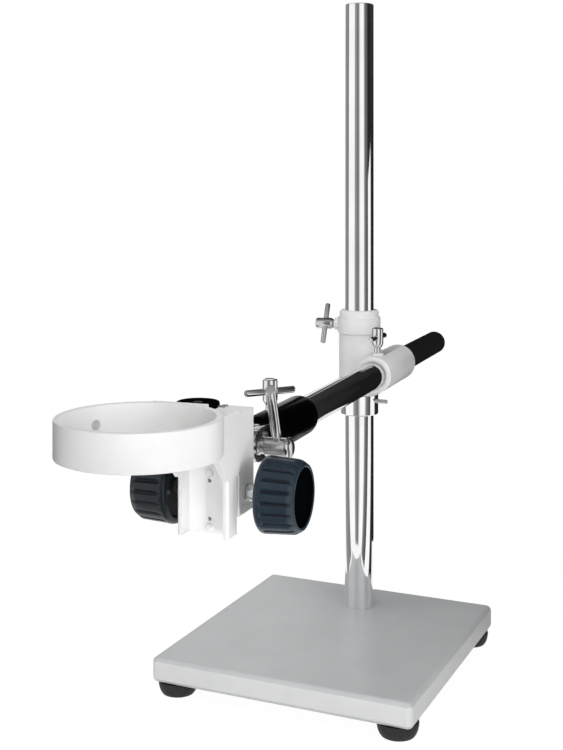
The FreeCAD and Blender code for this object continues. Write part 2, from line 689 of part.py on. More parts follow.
def dovetail_corners(front, back, gap):
    """Half widths grow from the neck at the front to the tail at the back."""
    return [(f"-dovetail_neck - {gap}", front), (f"dovetail_neck + {gap}", front),
            (f"dovetail_tail + {gap}", back), (f"-dovetail_tail - {gap}", back)]


def make_housing():
    body = new_body("Housing")
    plan = sketch_on(body, "XY_Plane", "housing_bottom")
    draw_box(plan, "-housing_half_width", "-housing_front", "housing_half_width", "-housing_rear")
    pad(body, plan, "housing_rise")
    dress(body, "Fillet", is_upright, "housing_round")
    way = sketch_on(body, "XY_Plane", "housing_bottom")
    slope = "(dovetail_tail - dovetail_neck) / dovetail_depth"
    lead = f"(channel_back - housing_front - 1) * {slope}"
    draw_outline(way, [(f"-dovetail_neck - dovetail_gap - {lead}", "-housing_front - 1"),
                       (f"dovetail_neck + dovetail_gap + {lead}", "-housing_front - 1"),
                       ("dovetail_tail + dovetail_gap", "-dovetail_back + dovetail_gap"),
                       ("-dovetail_tail - dovetail_gap", "-dovetail_back + dovetail_gap")])
    cut_through(body, way)
    relief = sketch_on(body, "XY_Plane", "housing_bottom")
    draw_box(relief, "-rack_width / 2 - 0.5", "-dovetail_back - 1", "rack_width / 2 + 0.5",
             "-rack_pitch_line + rack_addendum + 0.5")
    cut_through(body, relief)
    bore = sketch_on(body, "YZ_Plane")
    draw_circle(bore, "-pinion_reach", "pinion_height", "bush_flange_radius + seat_clearance")
    cut_through(body, bore)
    taps = sketch_on(body, "XZ_Plane", "housing_rear")
    for x, z in flange_places():
        draw_circle(taps, x, f"boom_height + {z}", "flange_screw_radius + seat_clearance")
    cut_into(body, taps, "flange_screw_reach - flange_thickness + 1", True)
    tap = sketch_on(body, "XY_Plane", "housing_top")
    draw_circle(tap, "-stop_screw_aside", "-housing_rear - stop_screw_setback",
                "stop_screw_radius + seat_clearance")
    cut_into(body, tap, "stop_screw_reach + 0.5")
    keep(body, "pinion_housing", arm * at("boom_offset", "0", "0"))
    stop = new_body("StopScrew")
    lathe(stop, [("0", "-stop_screw_reach"), ("stop_screw_radius", "-stop_screw_reach"),
                 ("stop_screw_radius", "0"), ("stop_screw_radius * 1.5", "0"),
                 ("stop_screw_radius * 1.5", "stop_screw_height * 0.5"),
                 ("stop_screw_radius", "stop_screw_height"), ("0", "stop_screw_height")])
    keep(stop, "way_screw", arm * at("boom_offset - stop_screw_aside",
                                     "-housing_rear - stop_screw_setback", "housing_top"))


def make_bushes():
    for side, name in ((1, "pinion_bush_right"), (-1, "pinion_bush_left")):
        bore = "shaft_radius + running_clearance"
        turned("Bush", [(bore, "bush_seat"), ("bush_flange_radius", "bush_seat"),
                        ("bush_flange_radius", "housing_half_width"),
                        ("bush_radius", "housing_half_width"), ("bush_radius", "bush_end - 0.5"),
                        ("bush_radius - 0.5", "bush_end"), (bore, "bush_end")], name,
               arm * at("boom_offset", "-pinion_reach", "pinion_height", (side, 0, 0)))


# Pinion, rack and knobs


def involute_tooth():
    """Half a tooth's points, from root to tip, about the +X direction."""
    pitch = number("pitch_radius")
    base = pitch * math.cos(math.radians(20))
    tip = pitch + number("pinion_addendum")
    half_gap = (math.pi * number("tooth_module") / 2 - number("tooth_backlash")) / 2 / pitch
    involute = lambda angle: math.tan(angle) - angle
    at_pitch = half_gap + involute(math.radians(20))
    points = []
    steps = 4
    for step in range(steps + 1):
        radius = base + (tip - base) * step / steps
        turn = at_pitch - involute(math.acos(min(1.0, base / radius)))
        points.append((radius, turn))
    root = pitch - number("tooth_root")
    return [(root, at_pitch)] + points


def make_pinion_shaft():
    flank = involute_tooth()
    teeth = int(number("pinion_teeth"))
    corners = []
    for tooth in range(teeth):
        centre = 2 * math.pi * tooth / teeth
        for radius, turn in flank:
            corners.append((radius, centre - turn))
        for radius, turn in reversed(flank):
            corners.append((radius, centre + turn))
    points = [Vector(r * math.cos(a), r * math.sin(a), 0) for r, a in corners]
    width = number("pinion_width")
    wheel = Part.Face(Part.makePolygon(points + points[:1])).extrude(Vector(0, 0, width))
    wheel.translate(Vector(0, 0, -width / 2))
    half = number("shaft_half_length")
    shaft = Part.makeCylinder(number("shaft_radius"), 2 * half, Vector(0, 0, number("shaft_shift") - half))
    piece = doc.addObject("Part::Feature", "PinionShaft")
    piece.Shape = shaft.fuse(wheel).removeSplitter()
    centre = Vector(number("boom_offset"), -number("pinion_reach"), number("pinion_height"))
    facing = Rotation(Vector(0, -1, 0), Vector(0, 0, 1), Vector(1, 0, 0), "ZXY")
    keep(piece, "pinion_shaft", arm * Placement(centre, facing))


def make_rack():
    body = new_body("Rack")
    side = sketch_on(body, "YZ_Plane", "-rack_width / 2")
    crest = "-rack_pitch_line + rack_addendum"
    draw_box(side, f"{crest} - rack_depth", "rack_bottom", crest, "rack_bottom + rack_length")
    pad(body, side, "rack_width")
    pitch = "tooth_module * 3.14159265"
    half = f"({pitch} / 4 + tooth_backlash / 4)"
    slope = "0.36397"
    root = "-rack_pitch_line - tooth_root"
    below = int(number(f"(pinion_height - rack_bottom) / ({pitch})")) + 1
    above = int(number(f"(rack_bottom + rack_length - pinion_height) / ({pitch}) - 1"))
    count = below + 1 + above
    first = f"pinion_height - {below} * {pitch}"
    gap = sketch_on(body, "YZ_Plane")
    draw_outline(gap, [(root, f"{first} - {half} + tooth_root * {slope}"),
                       (f"{crest} + 1", f"{first} - {half} - (rack_addendum + 1) * {slope}"),
                       (f"{crest} + 1", f"{first} + {half} + (rack_addendum + 1) * {slope}"),
                       (root, f"{first} + {half} - tooth_root * {slope}")])
    tooth_gap = cut_through(body, gap)
    pattern = body.newObject("PartDesign::LinearPattern", "Teeth")
    pattern.Originals = [tooth_gap]
    pattern.Direction = (gap, ["V_Axis"])
    pattern.Occurrences = count
    pattern.setExpression("Length", formula(f"{pitch} * {count - 1}"))
    body.Tip = pattern
    holes = sketch_on(body, "XZ_Plane")
    for z, radius in fixing_places():
        draw_circle(holes, "0", z, f"{radius} + seat_clearance")
    cut_through(body, holes)
    keep(body, "rack", arm * at("boom_offset", "0", "0"))


def fixing_places():
    screws = [(f"fixing_height + {side} * fixing_spread", "fixing_radius") for side in (-1, 1)]
    dowels = [(f"fixing_height + {side} * dowel_spread", "dowel_radius") for side in (-1, 1)]
    return screws + dowels


def make_knob(side, name):
    body = new_body("Knob")
    far = "knob_length"
    lathe(body, [("shaft_radius + seat_clearance", "knob_back_recess"),
                 ("knob_back_radius - 1", "knob_back_recess"), ("knob_back_radius", "0"),
                 ("knob_inner_radius - knob_back_bevel", "0"), ("knob_inner_radius", "knob_back_bevel"),
                 ("knob_outer_radius", f"{far} - knob_bevel"), ("knob_rim_radius", far),
                 ("knob_recess_radius", far), ("knob_recess_radius", f"{far} - knob_recess_depth"),
                 ("shaft_radius + seat_clearance", f"{far} - knob_recess_depth")])
    flute = sketch_on(body, "XY_Plane", "knob_back_bevel + 1.4")
    draw_circle(flute, "knob_inner_radius + flute_radius - flute_depth", "0", "flute_radius")
    groove = cut_into(body, flute, "knob_length", True)
    pattern = body.newObject("PartDesign::PolarPattern", "Flutes")
    pattern.Originals = [groove]
    pattern.Axis = (flute, ["N_Axis"])
    pattern.Angle = 360
    pattern.setExpression("Occurrences", formula("knob_flutes"))
    body.Tip = pattern
    place = arm * at(f"boom_offset + shaft_shift + {side} * knob_place", "-pinion_reach",
                     "pinion_height", (side, 0, 0))
    keep(body, "focus_knob_" + name, place)
    low = "knob_length - knob_recess_depth"
    turned("KnobCap", [("shaft_radius + 3", low), ("cap_radius", low),
                       ("cap_radius", f"{low} + cap_thickness * 0.6"),
                       ("cap_radius - 1", f"{low} + cap_thickness"), ("0", f"{low} + cap_thickness"),
                       ("0", f"{low} + cap_thickness * 0.6"),
                       ("shaft_radius + 3", f"{low} + cap_thickness * 0.6")],
           "knob_cap_" + name, place)


# Slide arm and head ring


def is_channel_edge(edge):
    low = edge.BoundBox.ZMin < number("channel_bottom + 1")
    return low and is_upright(edge) and edge.BoundBox.YMax < -number("channel_floor")


def make_slide_arm():
    body = new_body("SlideArm")
    profile = sketch_on(body, "YZ_Plane", "-cheek_half_width")
    draw_outline(profile, [("-cheek_rear", "cheek_bottom"), ("-cheek_rear", "arm_top"),
                           ("-arm_flange_rear", "arm_top"), ("-arm_flange_rear", "arm_flange_top"),
                           ("-ring_reach + ring_bore_radius", "arm_flange_top"),
                           ("-ring_reach + ring_bore_radius", "ring_bottom"),
                           ("-cheek_slope_front", "ring_bottom"), ("-cheek_front", "cheek_bottom")])
    pad(body, profile, "cheek_half_width * 2")
    channel = sketch_on(body, "XY_Plane", "channel_bottom")
    inner = "channel_half_width - channel_wall"
    draw_box(channel, "-channel_half_width", "-channel_front", "channel_half_width", "-channel_back")
    pad(body, channel, "cheek_bottom + 2 - channel_bottom")
    dress(body, "Fillet", is_channel_edge, "channel_round")
    hollow = sketch_on(body, "XY_Plane", "channel_bottom - 1")
    draw_box(hollow, f"-({inner})", "-cheek_slope_front - channel_depth", inner, "-channel_floor")
    cut_into(body, hollow, "ring_bottom - channel_bottom + 1", True)
    upper = sketch_on(body, "XY_Plane", "ring_bottom - 1")
    draw_box(upper, f"-({inner})", "-arm_flange_rear", inner, "-channel_floor")
    cut_into(body, upper, "arm_top - arm_plate - ring_bottom + 1", True)
    behind = sketch_on(body, "XY_Plane")
    draw_box(behind, "-dovetail_tail - 0.6", "-channel_back", "dovetail_tail + 0.6", "-cheek_rear + 1")
    cut_through(body, behind)
    seat = sketch_on(body, "XY_Plane")
    draw_circle(seat, "0", "-ring_reach", "ring_outer_radius + seat_clearance")
    cut_through(body, seat)
    boss = sketch_on(body, "XY_Plane", "arm_top - 1")
    draw_circle(boss, "0", "-lock_reach", "arm_boss_radius")
    pad(body, boss, "lock_bottom - arm_top + 1 - running_clearance")
    stud = sketch_on(body, "XY_Plane", "lock_bottom")
    draw_circle(stud, "0", "-lock_reach", "lock_stud_radius + running_clearance")
    cut_into(body, stud, "lock_bottom - arm_top + lock_stud_reach + 0.2")
    holes = sketch_on(body, "XZ_Plane", "channel_floor")
    for z, radius in fixing_places():
        draw_circle(holes, "0", z, f"{radius} + seat_clearance")
    drilled = cut_into(body, holes, "(channel_floor - channel_back) * 2 + 4")
    drilled.SideType = "Symmetric"
    doc.recompute()
    drills = [ring_drill(turn, "ring_screw_radius", "ring_screw_height", "ring_reach")
              for turn in ring_screw_places()]
    keep(cut("SlideArmDrilled", body, *drills), "slide_arm", arm * at("boom_offset", "0", "0"))


def ring_screw_places():
    return [number(f"90 + {side} * ring_screw_turn") for side in (-1, 1)]


def make_dovetail():
    body = new_body("Dovetail")
    plan = sketch_on(body, "XY_Plane", "channel_bottom")
    draw_outline(plan, dovetail_corners("-channel_back", "-dovetail_back", "0"))
    pad(body, plan, "dovetail_rise")
    slot = sketch_on(body, "XY_Plane", "channel_bottom")
    crest = "-rack_pitch_line + rack_addendum"
    draw_box(slot, "-rack_width / 2 - seat_clearance", f"{crest} - rack_depth",
             "rack_width / 2 + seat_clearance", "-dovetail_back + 2")
    cut_through(body, slot)
    holes = sketch_on(body, "XZ_Plane")
    for z, radius in fixing_places():
        draw_circle(holes, "0", z, f"{radius} + seat_clearance")
    cut_through(body, holes)
    keep(body, "dovetail_slide", arm * at("boom_offset", "0", "0"))


def make_rack_fixings():
    tail = "channel_floor - rack_pitch_line - 1.6"
    screws, dowels = [], []
    for index, (z, radius) in enumerate(fixing_places()):
        part = new_body("Fixing")
        if index < 2:
            lathe(part, [("0", f"-({tail})"), ("fixing_radius", f"-({tail})"), ("fixing_radius", "0"),
                         ("fixing_head_radius", "0"), ("fixing_head_radius", "fixing_head_length * 0.5"),
                         ("fixing_radius", "fixing_head_length"), ("0", "fixing_head_length")])
            screws.append(part)
        else:
            lathe(part, [("0", f"-({tail})"), ("dowel_radius", f"-({tail})"), ("dowel_radius", "-1.2"),
                         ("0", "-1.2")])
            dowels.append(part)
        part.Placement = at("boom_offset", "-channel_floor", z, (0, -1, 0))
    keep(grouped("RackScrews", screws), "rack_screws", arm)
    keep(grouped("RackDowels", dowels), "rack_dowels", arm)


def make_head_ring():
    body = new_body("HeadRing")
    inside, outside = "ring_bore_radius", "ring_outer_radius"
    low, high = "ring_bottom", "ring_top"
    lathe(body, [(f"{inside} + ring_edge", low), (f"{outside} - ring_edge", low),
                 (outside, f"{low} + ring_edge"), (outside, f"{high} - ring_edge"),
                 (f"{outside} - ring_edge", high), (f"{inside} + ring_edge", high),
                 (inside, f"{high} - ring_edge"), (inside, f"{low} + ring_edge")])
    doc.recompute()
    ring = cut("RingCut", body, *ring_drills())
    keep(ring, "head_ring", arm * at("boom_offset", "-ring_reach", "0"))


def ring_drill(turn, radius, height, reach="0"):
    """A drill that runs outwards through the ring's wall at one place."""
    way = Vector(math.cos(math.radians(turn)), math.sin(math.radians(turn)), 0)
    start = way * number("ring_bore_radius - 1") + Vector(0, -number(reach), number(height))
    return cylinder("RingDrill", f"{radius} + seat_clearance", "ring_outer_radius",
                    Placement(start, Rotation(Vector(0, 0, 1), way)))


def ring_drills():
    drills = []
    for turn in ring_screw_places():
        drills.append(ring_drill(turn, "ring_screw_radius", "ring_screw_height"))
        sink = ring_drill(turn, "ring_screw_head_radius", "ring_screw_height")
        sink.setExpression("Height", formula("1 + ring_screw_head_depth"))
        drills.append(sink)
    head = ring_drill(number("head_screw_turn"), "head_screw_radius", "head_screw_height")
    return drills + [head]


def make_ring_screws():
    screws = []
    for turn in ring_screw_places():
        way = (math.cos(math.radians(turn)), math.sin(math.radians(turn)), 0)
        sunk = "ring_bore_radius + 0.3"
        under = "ring_bore_radius + ring_screw_head_depth"
        screw = new_body("RingScrew")
        lathe(screw, [("0", sunk), ("ring_screw_head_radius", sunk), ("ring_screw_head_radius", under),
                      ("ring_screw_radius", under), ("ring_screw_radius", f"{under} + ring_screw_reach"),
                      ("0", f"{under} + ring_screw_reach")])
        screw.Placement = at("boom_offset", "-ring_reach", "ring_screw_height", way)
        screws.append(screw)
    keep(grouped("RingScrews", screws), "ring_screws", arm)


def make_head_screw():
    turn = math.radians(number("head_screw_turn"))
    way = (math.cos(turn), math.sin(turn), 0)
    place = arm * at("boom_offset", "-ring_reach", "head_screw_height", way)
    head = "ring_outer_radius + head_knob_gap"
    turned("HeadScrew", [("0", "ring_bore_radius + head_screw_tip"),
                         ("head_screw_radius", "ring_bore_radius + head_screw_tip"),
                         ("head_screw_radius", f"{head} + head_knob_length - 2"),
                         ("0", f"{head} + head_knob_length - 2")], "head_clamp_screw", place)
    knob = new_body("HeadKnob")
    lathe(knob, [("head_screw_radius + seat_clearance", f"{head}"), ("head_knob_radius - 2", f"{head}"),
                 ("head_knob_radius - 2", f"{head} + 1.5"), ("head_knob_radius", f"{head} + 2.2"),
                 ("head_knob_radius", f"{head} + head_knob_length - 0.7"),
                 ("head_knob_radius - 0.7", f"{head} + head_knob_length"),
                 ("0", f"{head} + head_knob_length"), ("0", f"{head} + head_knob_length - 1.9"),
                 ("head_screw_radius + seat_clearance", f"{head} + head_knob_length - 1.9")])
    keep(knob, "head_clamp_knob", place)


def make_lock_knob():
    body = new_body("LockKnob")
    low, high = "lock_bottom", "lock_top"
    hole = "lock_stud_radius + seat_clearance"
    lathe(body, [(hole, low), ("lock_radius - 0.8", low), ("lock_radius", f"{low} + 0.8"),
                 ("lock_radius", f"{high} - 1.2"), ("lock_radius - 1.4", high),
                 ("lock_radius - 2.6", f"{high} - lock_dish"), (hole, f"{high} - lock_dish")])
    place = arm * at("boom_offset", "-lock_reach", "0")
    keep(body, "arm_lock_knob", place)
    deep = "arm_top - lock_stud_reach"
    turned("LockStud", [("0", deep), ("lock_stud_radius", deep),
                        ("lock_stud_radius", f"{high} - lock_dish + 0.5"),
                        ("0", f"{high} - lock_dish + 0.9")], "arm_lock_stud", place)
    pin = cylinder("LockPin", "lock_pin_radius", "lock_pin_length",
                   arm * at("boom_offset + lock_radius", "-lock_reach",
                            "(lock_bottom + lock_top) / 2 - 0.2", (1, 0, 0)))
    keep(pin, "arm_lock_pin")


def build():
    make_base_plate()
    make_feet()
    make_column()
    make_collar()
    make_cross_hub()
    make_boom_bush()
    make_clamp_screws()
    make_boom()
    make_sleeve()
    make_fork()
    make_tilt_bolt()
    make_tongue()
    make_clamp_lever()
    make_housing()
    make_bushes()
    make_pinion_shaft()
    make_rack()
    make_knob(1, "right")
    make_knob(-1, "left")
    make_slide_arm()
    make_dovetail()
    make_rack_fixings()
    make_head_ring()
    make_ring_screws()
    make_head_screw()
    make_lock_knob()


def check_and_write():
    doc.recompute()
    for item in doc.Objects:
        if "Invalid" in item.State or "Error" in item.State:
            raise RuntimeError(f"{item.Label} did not build: {item.State}")
    os.makedirs("parts", exist_ok=True)
    for piece in pieces:
        shape = piece.Shape
        if shape.isNull() or not shape.isValid():
            raise RuntimeError(f"{piece.Label} is not a valid shape")
        print(f"{piece.Label:24s} solids {len(shape.Solids)} volume {shape.Volume / 1000:9.3f} cm3")
        shape.exportStep(f"parts/{piece.Label}.step")
    print(len(pieces), "pieces written")


build()
check_and_write()
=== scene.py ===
import bpy
import json
import math
from mathutils import Matrix, Vector


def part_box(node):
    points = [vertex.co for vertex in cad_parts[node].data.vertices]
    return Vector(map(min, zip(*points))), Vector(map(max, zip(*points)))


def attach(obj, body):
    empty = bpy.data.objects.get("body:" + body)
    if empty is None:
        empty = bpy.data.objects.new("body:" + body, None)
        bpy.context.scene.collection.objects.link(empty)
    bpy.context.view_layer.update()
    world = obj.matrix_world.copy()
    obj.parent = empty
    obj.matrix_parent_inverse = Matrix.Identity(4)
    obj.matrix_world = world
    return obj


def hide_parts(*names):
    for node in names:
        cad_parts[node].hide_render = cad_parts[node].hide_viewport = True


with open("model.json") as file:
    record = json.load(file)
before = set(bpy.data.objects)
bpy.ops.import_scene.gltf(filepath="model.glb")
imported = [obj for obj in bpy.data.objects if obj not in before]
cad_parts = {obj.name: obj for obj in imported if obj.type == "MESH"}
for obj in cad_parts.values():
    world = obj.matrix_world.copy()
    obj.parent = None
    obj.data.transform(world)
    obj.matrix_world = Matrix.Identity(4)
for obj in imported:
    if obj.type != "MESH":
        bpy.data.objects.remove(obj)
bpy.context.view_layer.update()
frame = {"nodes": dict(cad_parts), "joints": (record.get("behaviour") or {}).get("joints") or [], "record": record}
joints = {joint["name"]: joint for joint in frame["joints"]}
mounts = {mount["name"]: mount for mount in frame["record"]["mounts"]}
mm = 0.001


# Operators act on what is selected, so each step says what that is

def onlyThis(*objs):
    bpy.ops.object.select_all(action="DESELECT")
    for obj in objs:
        obj.select_set(True)
    bpy.context.view_layer.objects.active = objs[0]


def clearSelection(obj):
    for parts in (obj.data.vertices, obj.data.edges, obj.data.polygons):
        parts.foreach_set("select", [False] * len(parts))


def applyPlace(obj):
    onlyThis(obj)
    bpy.ops.object.transform_apply(location=True, rotation=True, scale=True)


def setPlace(obj, matrix):
    obj.matrix_world = matrix @ obj.matrix_world
    applyPlace(obj)
    return obj


def modify(obj, kind, **settings):
    onlyThis(obj)
    modifier = obj.modifiers.new(kind.title(), kind)
    for key, value in settings.items():
        setattr(modifier, key, value)
    bpy.ops.object.modifier_apply(modifier=modifier.name)


def copyOf(obj):
    onlyThis(obj)
    bpy.ops.object.duplicate()
    return bpy.context.object


def join(first, *others):
    onlyThis(first, *others)
    bpy.ops.object.join()
    return first


def cutAway(obj, cutter):
    modify(obj, "BOOLEAN", operation="DIFFERENCE", solver="EXACT", object=cutter)
    bpy.data.objects.remove(cutter)


pole = 0.02  # mm, the smallest ring that a turned piece has, for a point on its axis
loose = 0.05  # mm of play round what passes through a turned piece
touching = 0.001 * mm  # points as near as this are merged


def turned(name, profile, segments=96, closed=False):
    # A circle extruded and resized along a list of radius and height in mm, as on a lathe
    outline = [(max(r, pole), z) for r, z in profile]
    if closed:
        outline.append(outline[0])
    radius, height = outline[0]
    bpy.ops.object.select_all(action="DESELECT")
    bpy.ops.mesh.primitive_circle_add(vertices=segments, radius=radius * mm, fill_type="NOTHING",
                                      location=(0, 0, height * mm))
    obj = bpy.context.object
    obj.name = name
    applyPlace(obj)
    bpy.ops.object.mode_set(mode="EDIT")
    bpy.ops.mesh.select_all(action="SELECT")
    for nextRadius, nextHeight in outline[1:]:
        rise = (0, 0, (nextHeight - height) * mm)
        bpy.ops.mesh.extrude_region_move(TRANSFORM_OT_translate={"value": rise})
        grow = nextRadius / radius
        bpy.ops.transform.resize(value=(grow, grow, 1), center_override=(0, 0, nextHeight * mm))
        radius, height = nextRadius, nextHeight
    bpy.ops.mesh.select_all(action="SELECT")
    bpy.ops.mesh.remove_doubles(threshold=touching)
    if not closed:
        bpy.ops.mesh.fill_holes(sides=0)
    bpy.ops.mesh.normals_make_consistent(inside=False)
    bpy.ops.object.mode_set(mode="OBJECT")
    return obj


def drill(radius, start, end, segments=48):
    return turned("drill", [(radius, start), (radius, end)], segments)


def steps(radius, height, insets, way=1):
    # An outline's points, given as how far in from a radius and how far along from a height
    return [(radius - inset, height + way * on) for inset, on in insets]


def brokenEdge(radius, height, out, up):
    # Three points that break an edge; out and up say its size and which way it faces
    middle = 0.3
    return [(radius, height - up), (radius - out * middle, height - up * middle), (radius - out, height)]


def roundEdge(radius, height, size, angles):
    # A quarter round from a side to the end face
    return [(radius - size * (1 - math.cos(math.radians(a))), height - size * (1 - math.sin(math.radians(a))))
            for a in angles]


def soften(obj, width, angle=40):
    modify(obj, "BEVEL", width=width * mm, segments=3, limit_method="ANGLE",
           angle_limit=math.radians(angle), harden_normals=False, miter_outer="MITER_ARC")


def smooth(obj, angle):
    onlyThis(obj)
    bpy.ops.object.shade_smooth_by_angle(angle=math.radians(angle))


def onAxis(origin, direction):
    # A place whose Z runs along direction
    return Matrix.Translation(origin) @ Vector(direction).to_track_quat("Z", "Y").to_matrix().to_4x4()


def editAll(obj):
    onlyThis(obj)
    bpy.ops.object.mode_set(mode="EDIT")
    bpy.ops.mesh.select_all(action="SELECT")


def meshOf(node, flat=0.6):
    # A node's mesh as a new piece, with its loose triangles merged
    piece = copyOf(frame["nodes"][node])
    piece.parent = None
    piece.name = node + ".dressed"
    editAll(piece)
    bpy.ops.mesh.remove_doubles(threshold=2 * touching)
    bpy.ops.mesh.dissolve_limited(angle_limit=math.radians(flat))
    bpy.ops.object.mode_set(mode="OBJECT")
    return piece


def span(node, origin, direction):
    # How far a node reaches along an axis, and out from it, in mm
    direction = Vector(direction).normalized()
    along, out = [], []
    for vertex in frame["nodes"][node].data.vertices:
        offset = vertex.co - Vector(origin)
        reach = offset.dot(direction)
        along.append(reach / mm)
        out.append((offset - direction * reach).length / mm)
    return min(along), max(along), max(out)


def axisOf(name):
    joint = joints[name]
    return Vector(joint.get("pos_m") or (0, 0, 0)), Vector(joint["axis"]).normalized()


def finish(piece, body, material, node, angle, weigh=False):
    piece.data.materials.clear()
    piece.data.materials.append(material)
    for face in piece.data.polygons:
        face.material_index = 0
    smooth(piece, angle)
    if weigh:  # broad faces keep their own shading beside narrow ones
        modify(piece, "WEIGHTED_NORMAL", keep_sharp=True, weight=60)
    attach(piece, body)
    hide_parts(node)


def paintFaces(piece, material, test):
    # A second paint on the faces that pass a test
    piece.data.materials.append(material)
    for face in piece.data.polygons:
        if test(face):
            face.material_index = 1


# The arm's own place and directions: back along the boom, and sideways across it
boomPlace = axisOf("arm_roll")[0]
boomBack = axisOf("boom_reach")[1]
boomSide = axisOf("head_tilt")[1]


# Paint

class Sock:
    # A socket that takes part in sums

    def __init__(self, paint, socket):
        self.paint = paint
        self.socket = socket

    def combine(self, operation, first, second):
        return self.paint.node("ShaderNodeMath", {"operation": operation}, {0: first, 1: second})

    def __add__(self, other):
        return self.combine("ADD", self, other)

    def __radd__(self, other):
        return self.combine("ADD", other, self)

    def __mul__(self, other):
        return self.combine("MULTIPLY", self, other)

    def __rmul__(self, other):
        return self.combine("MULTIPLY", other, self)


class Paint:
    def __init__(self, name, **fixed):
        self.material = bpy.data.materials.new(name)
        self.material.use_nodes = True
        self.tree = self.material.node_tree
        self.shader = self.tree.nodes["Principled BSDF"]
        for socket, value in fixed.items():
            self.shader.inputs[socket.replace("_", " ")].default_value = value
        self.place = self.node("ShaderNodeTexCoord", {}, {}, "Object")

    def node(self, kind, settings, inputs, output=0):
        made = self.tree.nodes.new(kind)
        for key, value in settings.items():
            if key == "stops":
                while len(made.color_ramp.elements) < len(value):
                    made.color_ramp.elements.new(0.5)
                for element, (position, colour) in zip(made.color_ramp.elements, value):
                    element.position = position
                    element.color = (*colour, 1)
            else:
                setattr(made, key, value)
        for socket, value in inputs.items():
            if isinstance(value, Sock):
                self.tree.links.new(value.socket, made.inputs[socket])
            else:
                made.inputs[socket].default_value = value
        return Sock(self, made.outputs[output])

    def stretched(self, x, y, z):
        return self.node("ShaderNodeMapping", {}, {"Vector": self.place, "Scale": (x, y, z)})

    def turnAbout(self, matrix):
        # The angle about a place's Z axis, in radians, and the distance along it
        offset = self.node("ShaderNodeVectorMath", {"operation": "SUBTRACT"},
                           {0: self.place, 1: matrix.translation})
        across, up, along = (self.node("ShaderNodeVectorMath", {"operation": "DOT_PRODUCT"},
                                       {0: offset, 1: column.xyz}, 1) for column in matrix.col[:3])
        return self.node("ShaderNodeMath", {"operation": "ARCTAN2"}, {0: up, 1: across}), along

    def noise(self, size, detail=3.0, rough=0.55, where=None):
        # Noise whose features are about size mm across
        return self.node("ShaderNodeTexNoise", {}, {"Vector": where or self.place, "Scale": 1 / (size * mm),
                                                    "Detail": detail, "Roughness": rough})

    def cells(self, size):
        return self.node("ShaderNodeTexVoronoi", {}, {"Vector": self.place, "Scale": 1 / (size * mm)})

    def ramp(self, value, *stops):
        stops = [(at, colour if isinstance(colour, tuple) else (colour,) * 3) for at, colour in stops]
        return self.node("ShaderNodeValToRGB", {"stops": stops}, {"Fac": value})

    def clouds(self, size, detail, dark, light, low=0.3, high=0.7):
        # Soft clouds about size mm across, between two shades
        return self.ramp(self.noise(size, detail), (low, dark), (high, light))

    def blend(self, factor, first, second):
        return self.node("ShaderNodeMix", {"data_type": "RGBA"}, {0: factor, 6: first, 7: second}, 2)

    def fade(self, value, start, end):
        # From 0 at a start to 1 at an end, both in mm
        return self.node("ShaderNodeMapRange", {}, {0: value, 1: start * mm, 2: end * mm})

    def bump(self, height, strength, depth):
        inputs = {"Height": height, "Strength": strength, "Distance": depth * mm}
        return self.node("ShaderNodeBump", {}, inputs)

    def feed(self, **sockets):
        for socket, value in sockets.items():
            self.tree.links.new(value.socket, self.shader.inputs[socket.replace("_", " ")])
        return self.material


# The darker and the lighter shade of each finish that isn't bare metal
shades = {
    "greyEnamel": ((0.54, 0.55, 0.558), (0.58, 0.59, 0.597)),
    "sideEnamel": ((0.68, 0.685, 0.685), (0.72, 0.725, 0.725)),
    "whiteEnamel": ((0.765, 0.765, 0.762), (0.795, 0.795, 0.792)),
    "hubEnamel": ((0.755, 0.76, 0.755), (0.80, 0.805, 0.80)),
    "glossBlack": ((0.0003, 0.0004, 0.0004), (0.0008, 0.001, 0.001)),
    "slateKnob": ((0.011, 0.021, 0.032), (0.014, 0.026, 0.038)),
    "blackPlastic": ((0.0008, 0.0018, 0.0021), (0.002, 0.003, 0.0034)),
    "mattBlack": ((0.0012, 0.0015, 0.002), (0.002, 0.0025, 0.003)),
    "footRubber": ((0.012, 0.012, 0.012), (0.024, 0.024, 0.023)),
    "bushPlastic": ((0.72, 0.735, 0.745), (0.77, 0.785, 0.795)),
}
# Finishes whose grain shows in both their roughness and their relief
grained = {
    "sideEnamel": {"shine": 0.5, "clouds": (24, 3), "grain": (2.4, 5, 0.65), "rough": (0.42, 0.14),
                   "bump": (0.6, 0.16)},  # over the plate's rough sawn sides
    "blackPlastic": {"shine": 0.05, "clouds": (7, 2), "grain": (0.8,), "rough": (0.30, 0.16),
                     "bump": (0.2, 0.04)},
    "mattBlack": {"shine": 0.0, "clouds": (6, 2), "grain": (0.7,), "rough": (0.55, 0.2), "bump": (0.3, 0.04)},
    "footRubber": {"shine": 0.35, "clouds": (5, 4), "grain": (0.9, 4, 0.65), "rough": (0.55, 0.2),
                   "bump": (0.4, 0.08), "high": 0.75},
    "bushPlastic": {"shine": 0.4, "clouds": (10, 2), "grain": (1.2, 2), "rough": (0.38, 0.1),
                    "bump": (0.15, 0.03)},
}
dust = (0.7, 0.7, 0.7, 1)
# Near black that is painted into the knobs' flutes as painted shade
paintedFluteShade = (0.0015, 0.003, 0.005, 1)


def dimmed(colour, part):
    return tuple(level * part for level in colour)


def makeGrained(name):
    look = grained[name]
    paint = Paint(name, Specular_IOR_Level=look["shine"])
    grain, (rough, spread) = paint.noise(*look["grain"]), look["rough"]
    tone = paint.clouds(*look["clouds"], *shades[name], high=look.get("high", 0.7))
    return paint.feed(Base_Color=tone, Roughness=rough + grain * spread,
                      Normal=paint.bump(grain, *look["bump"]))


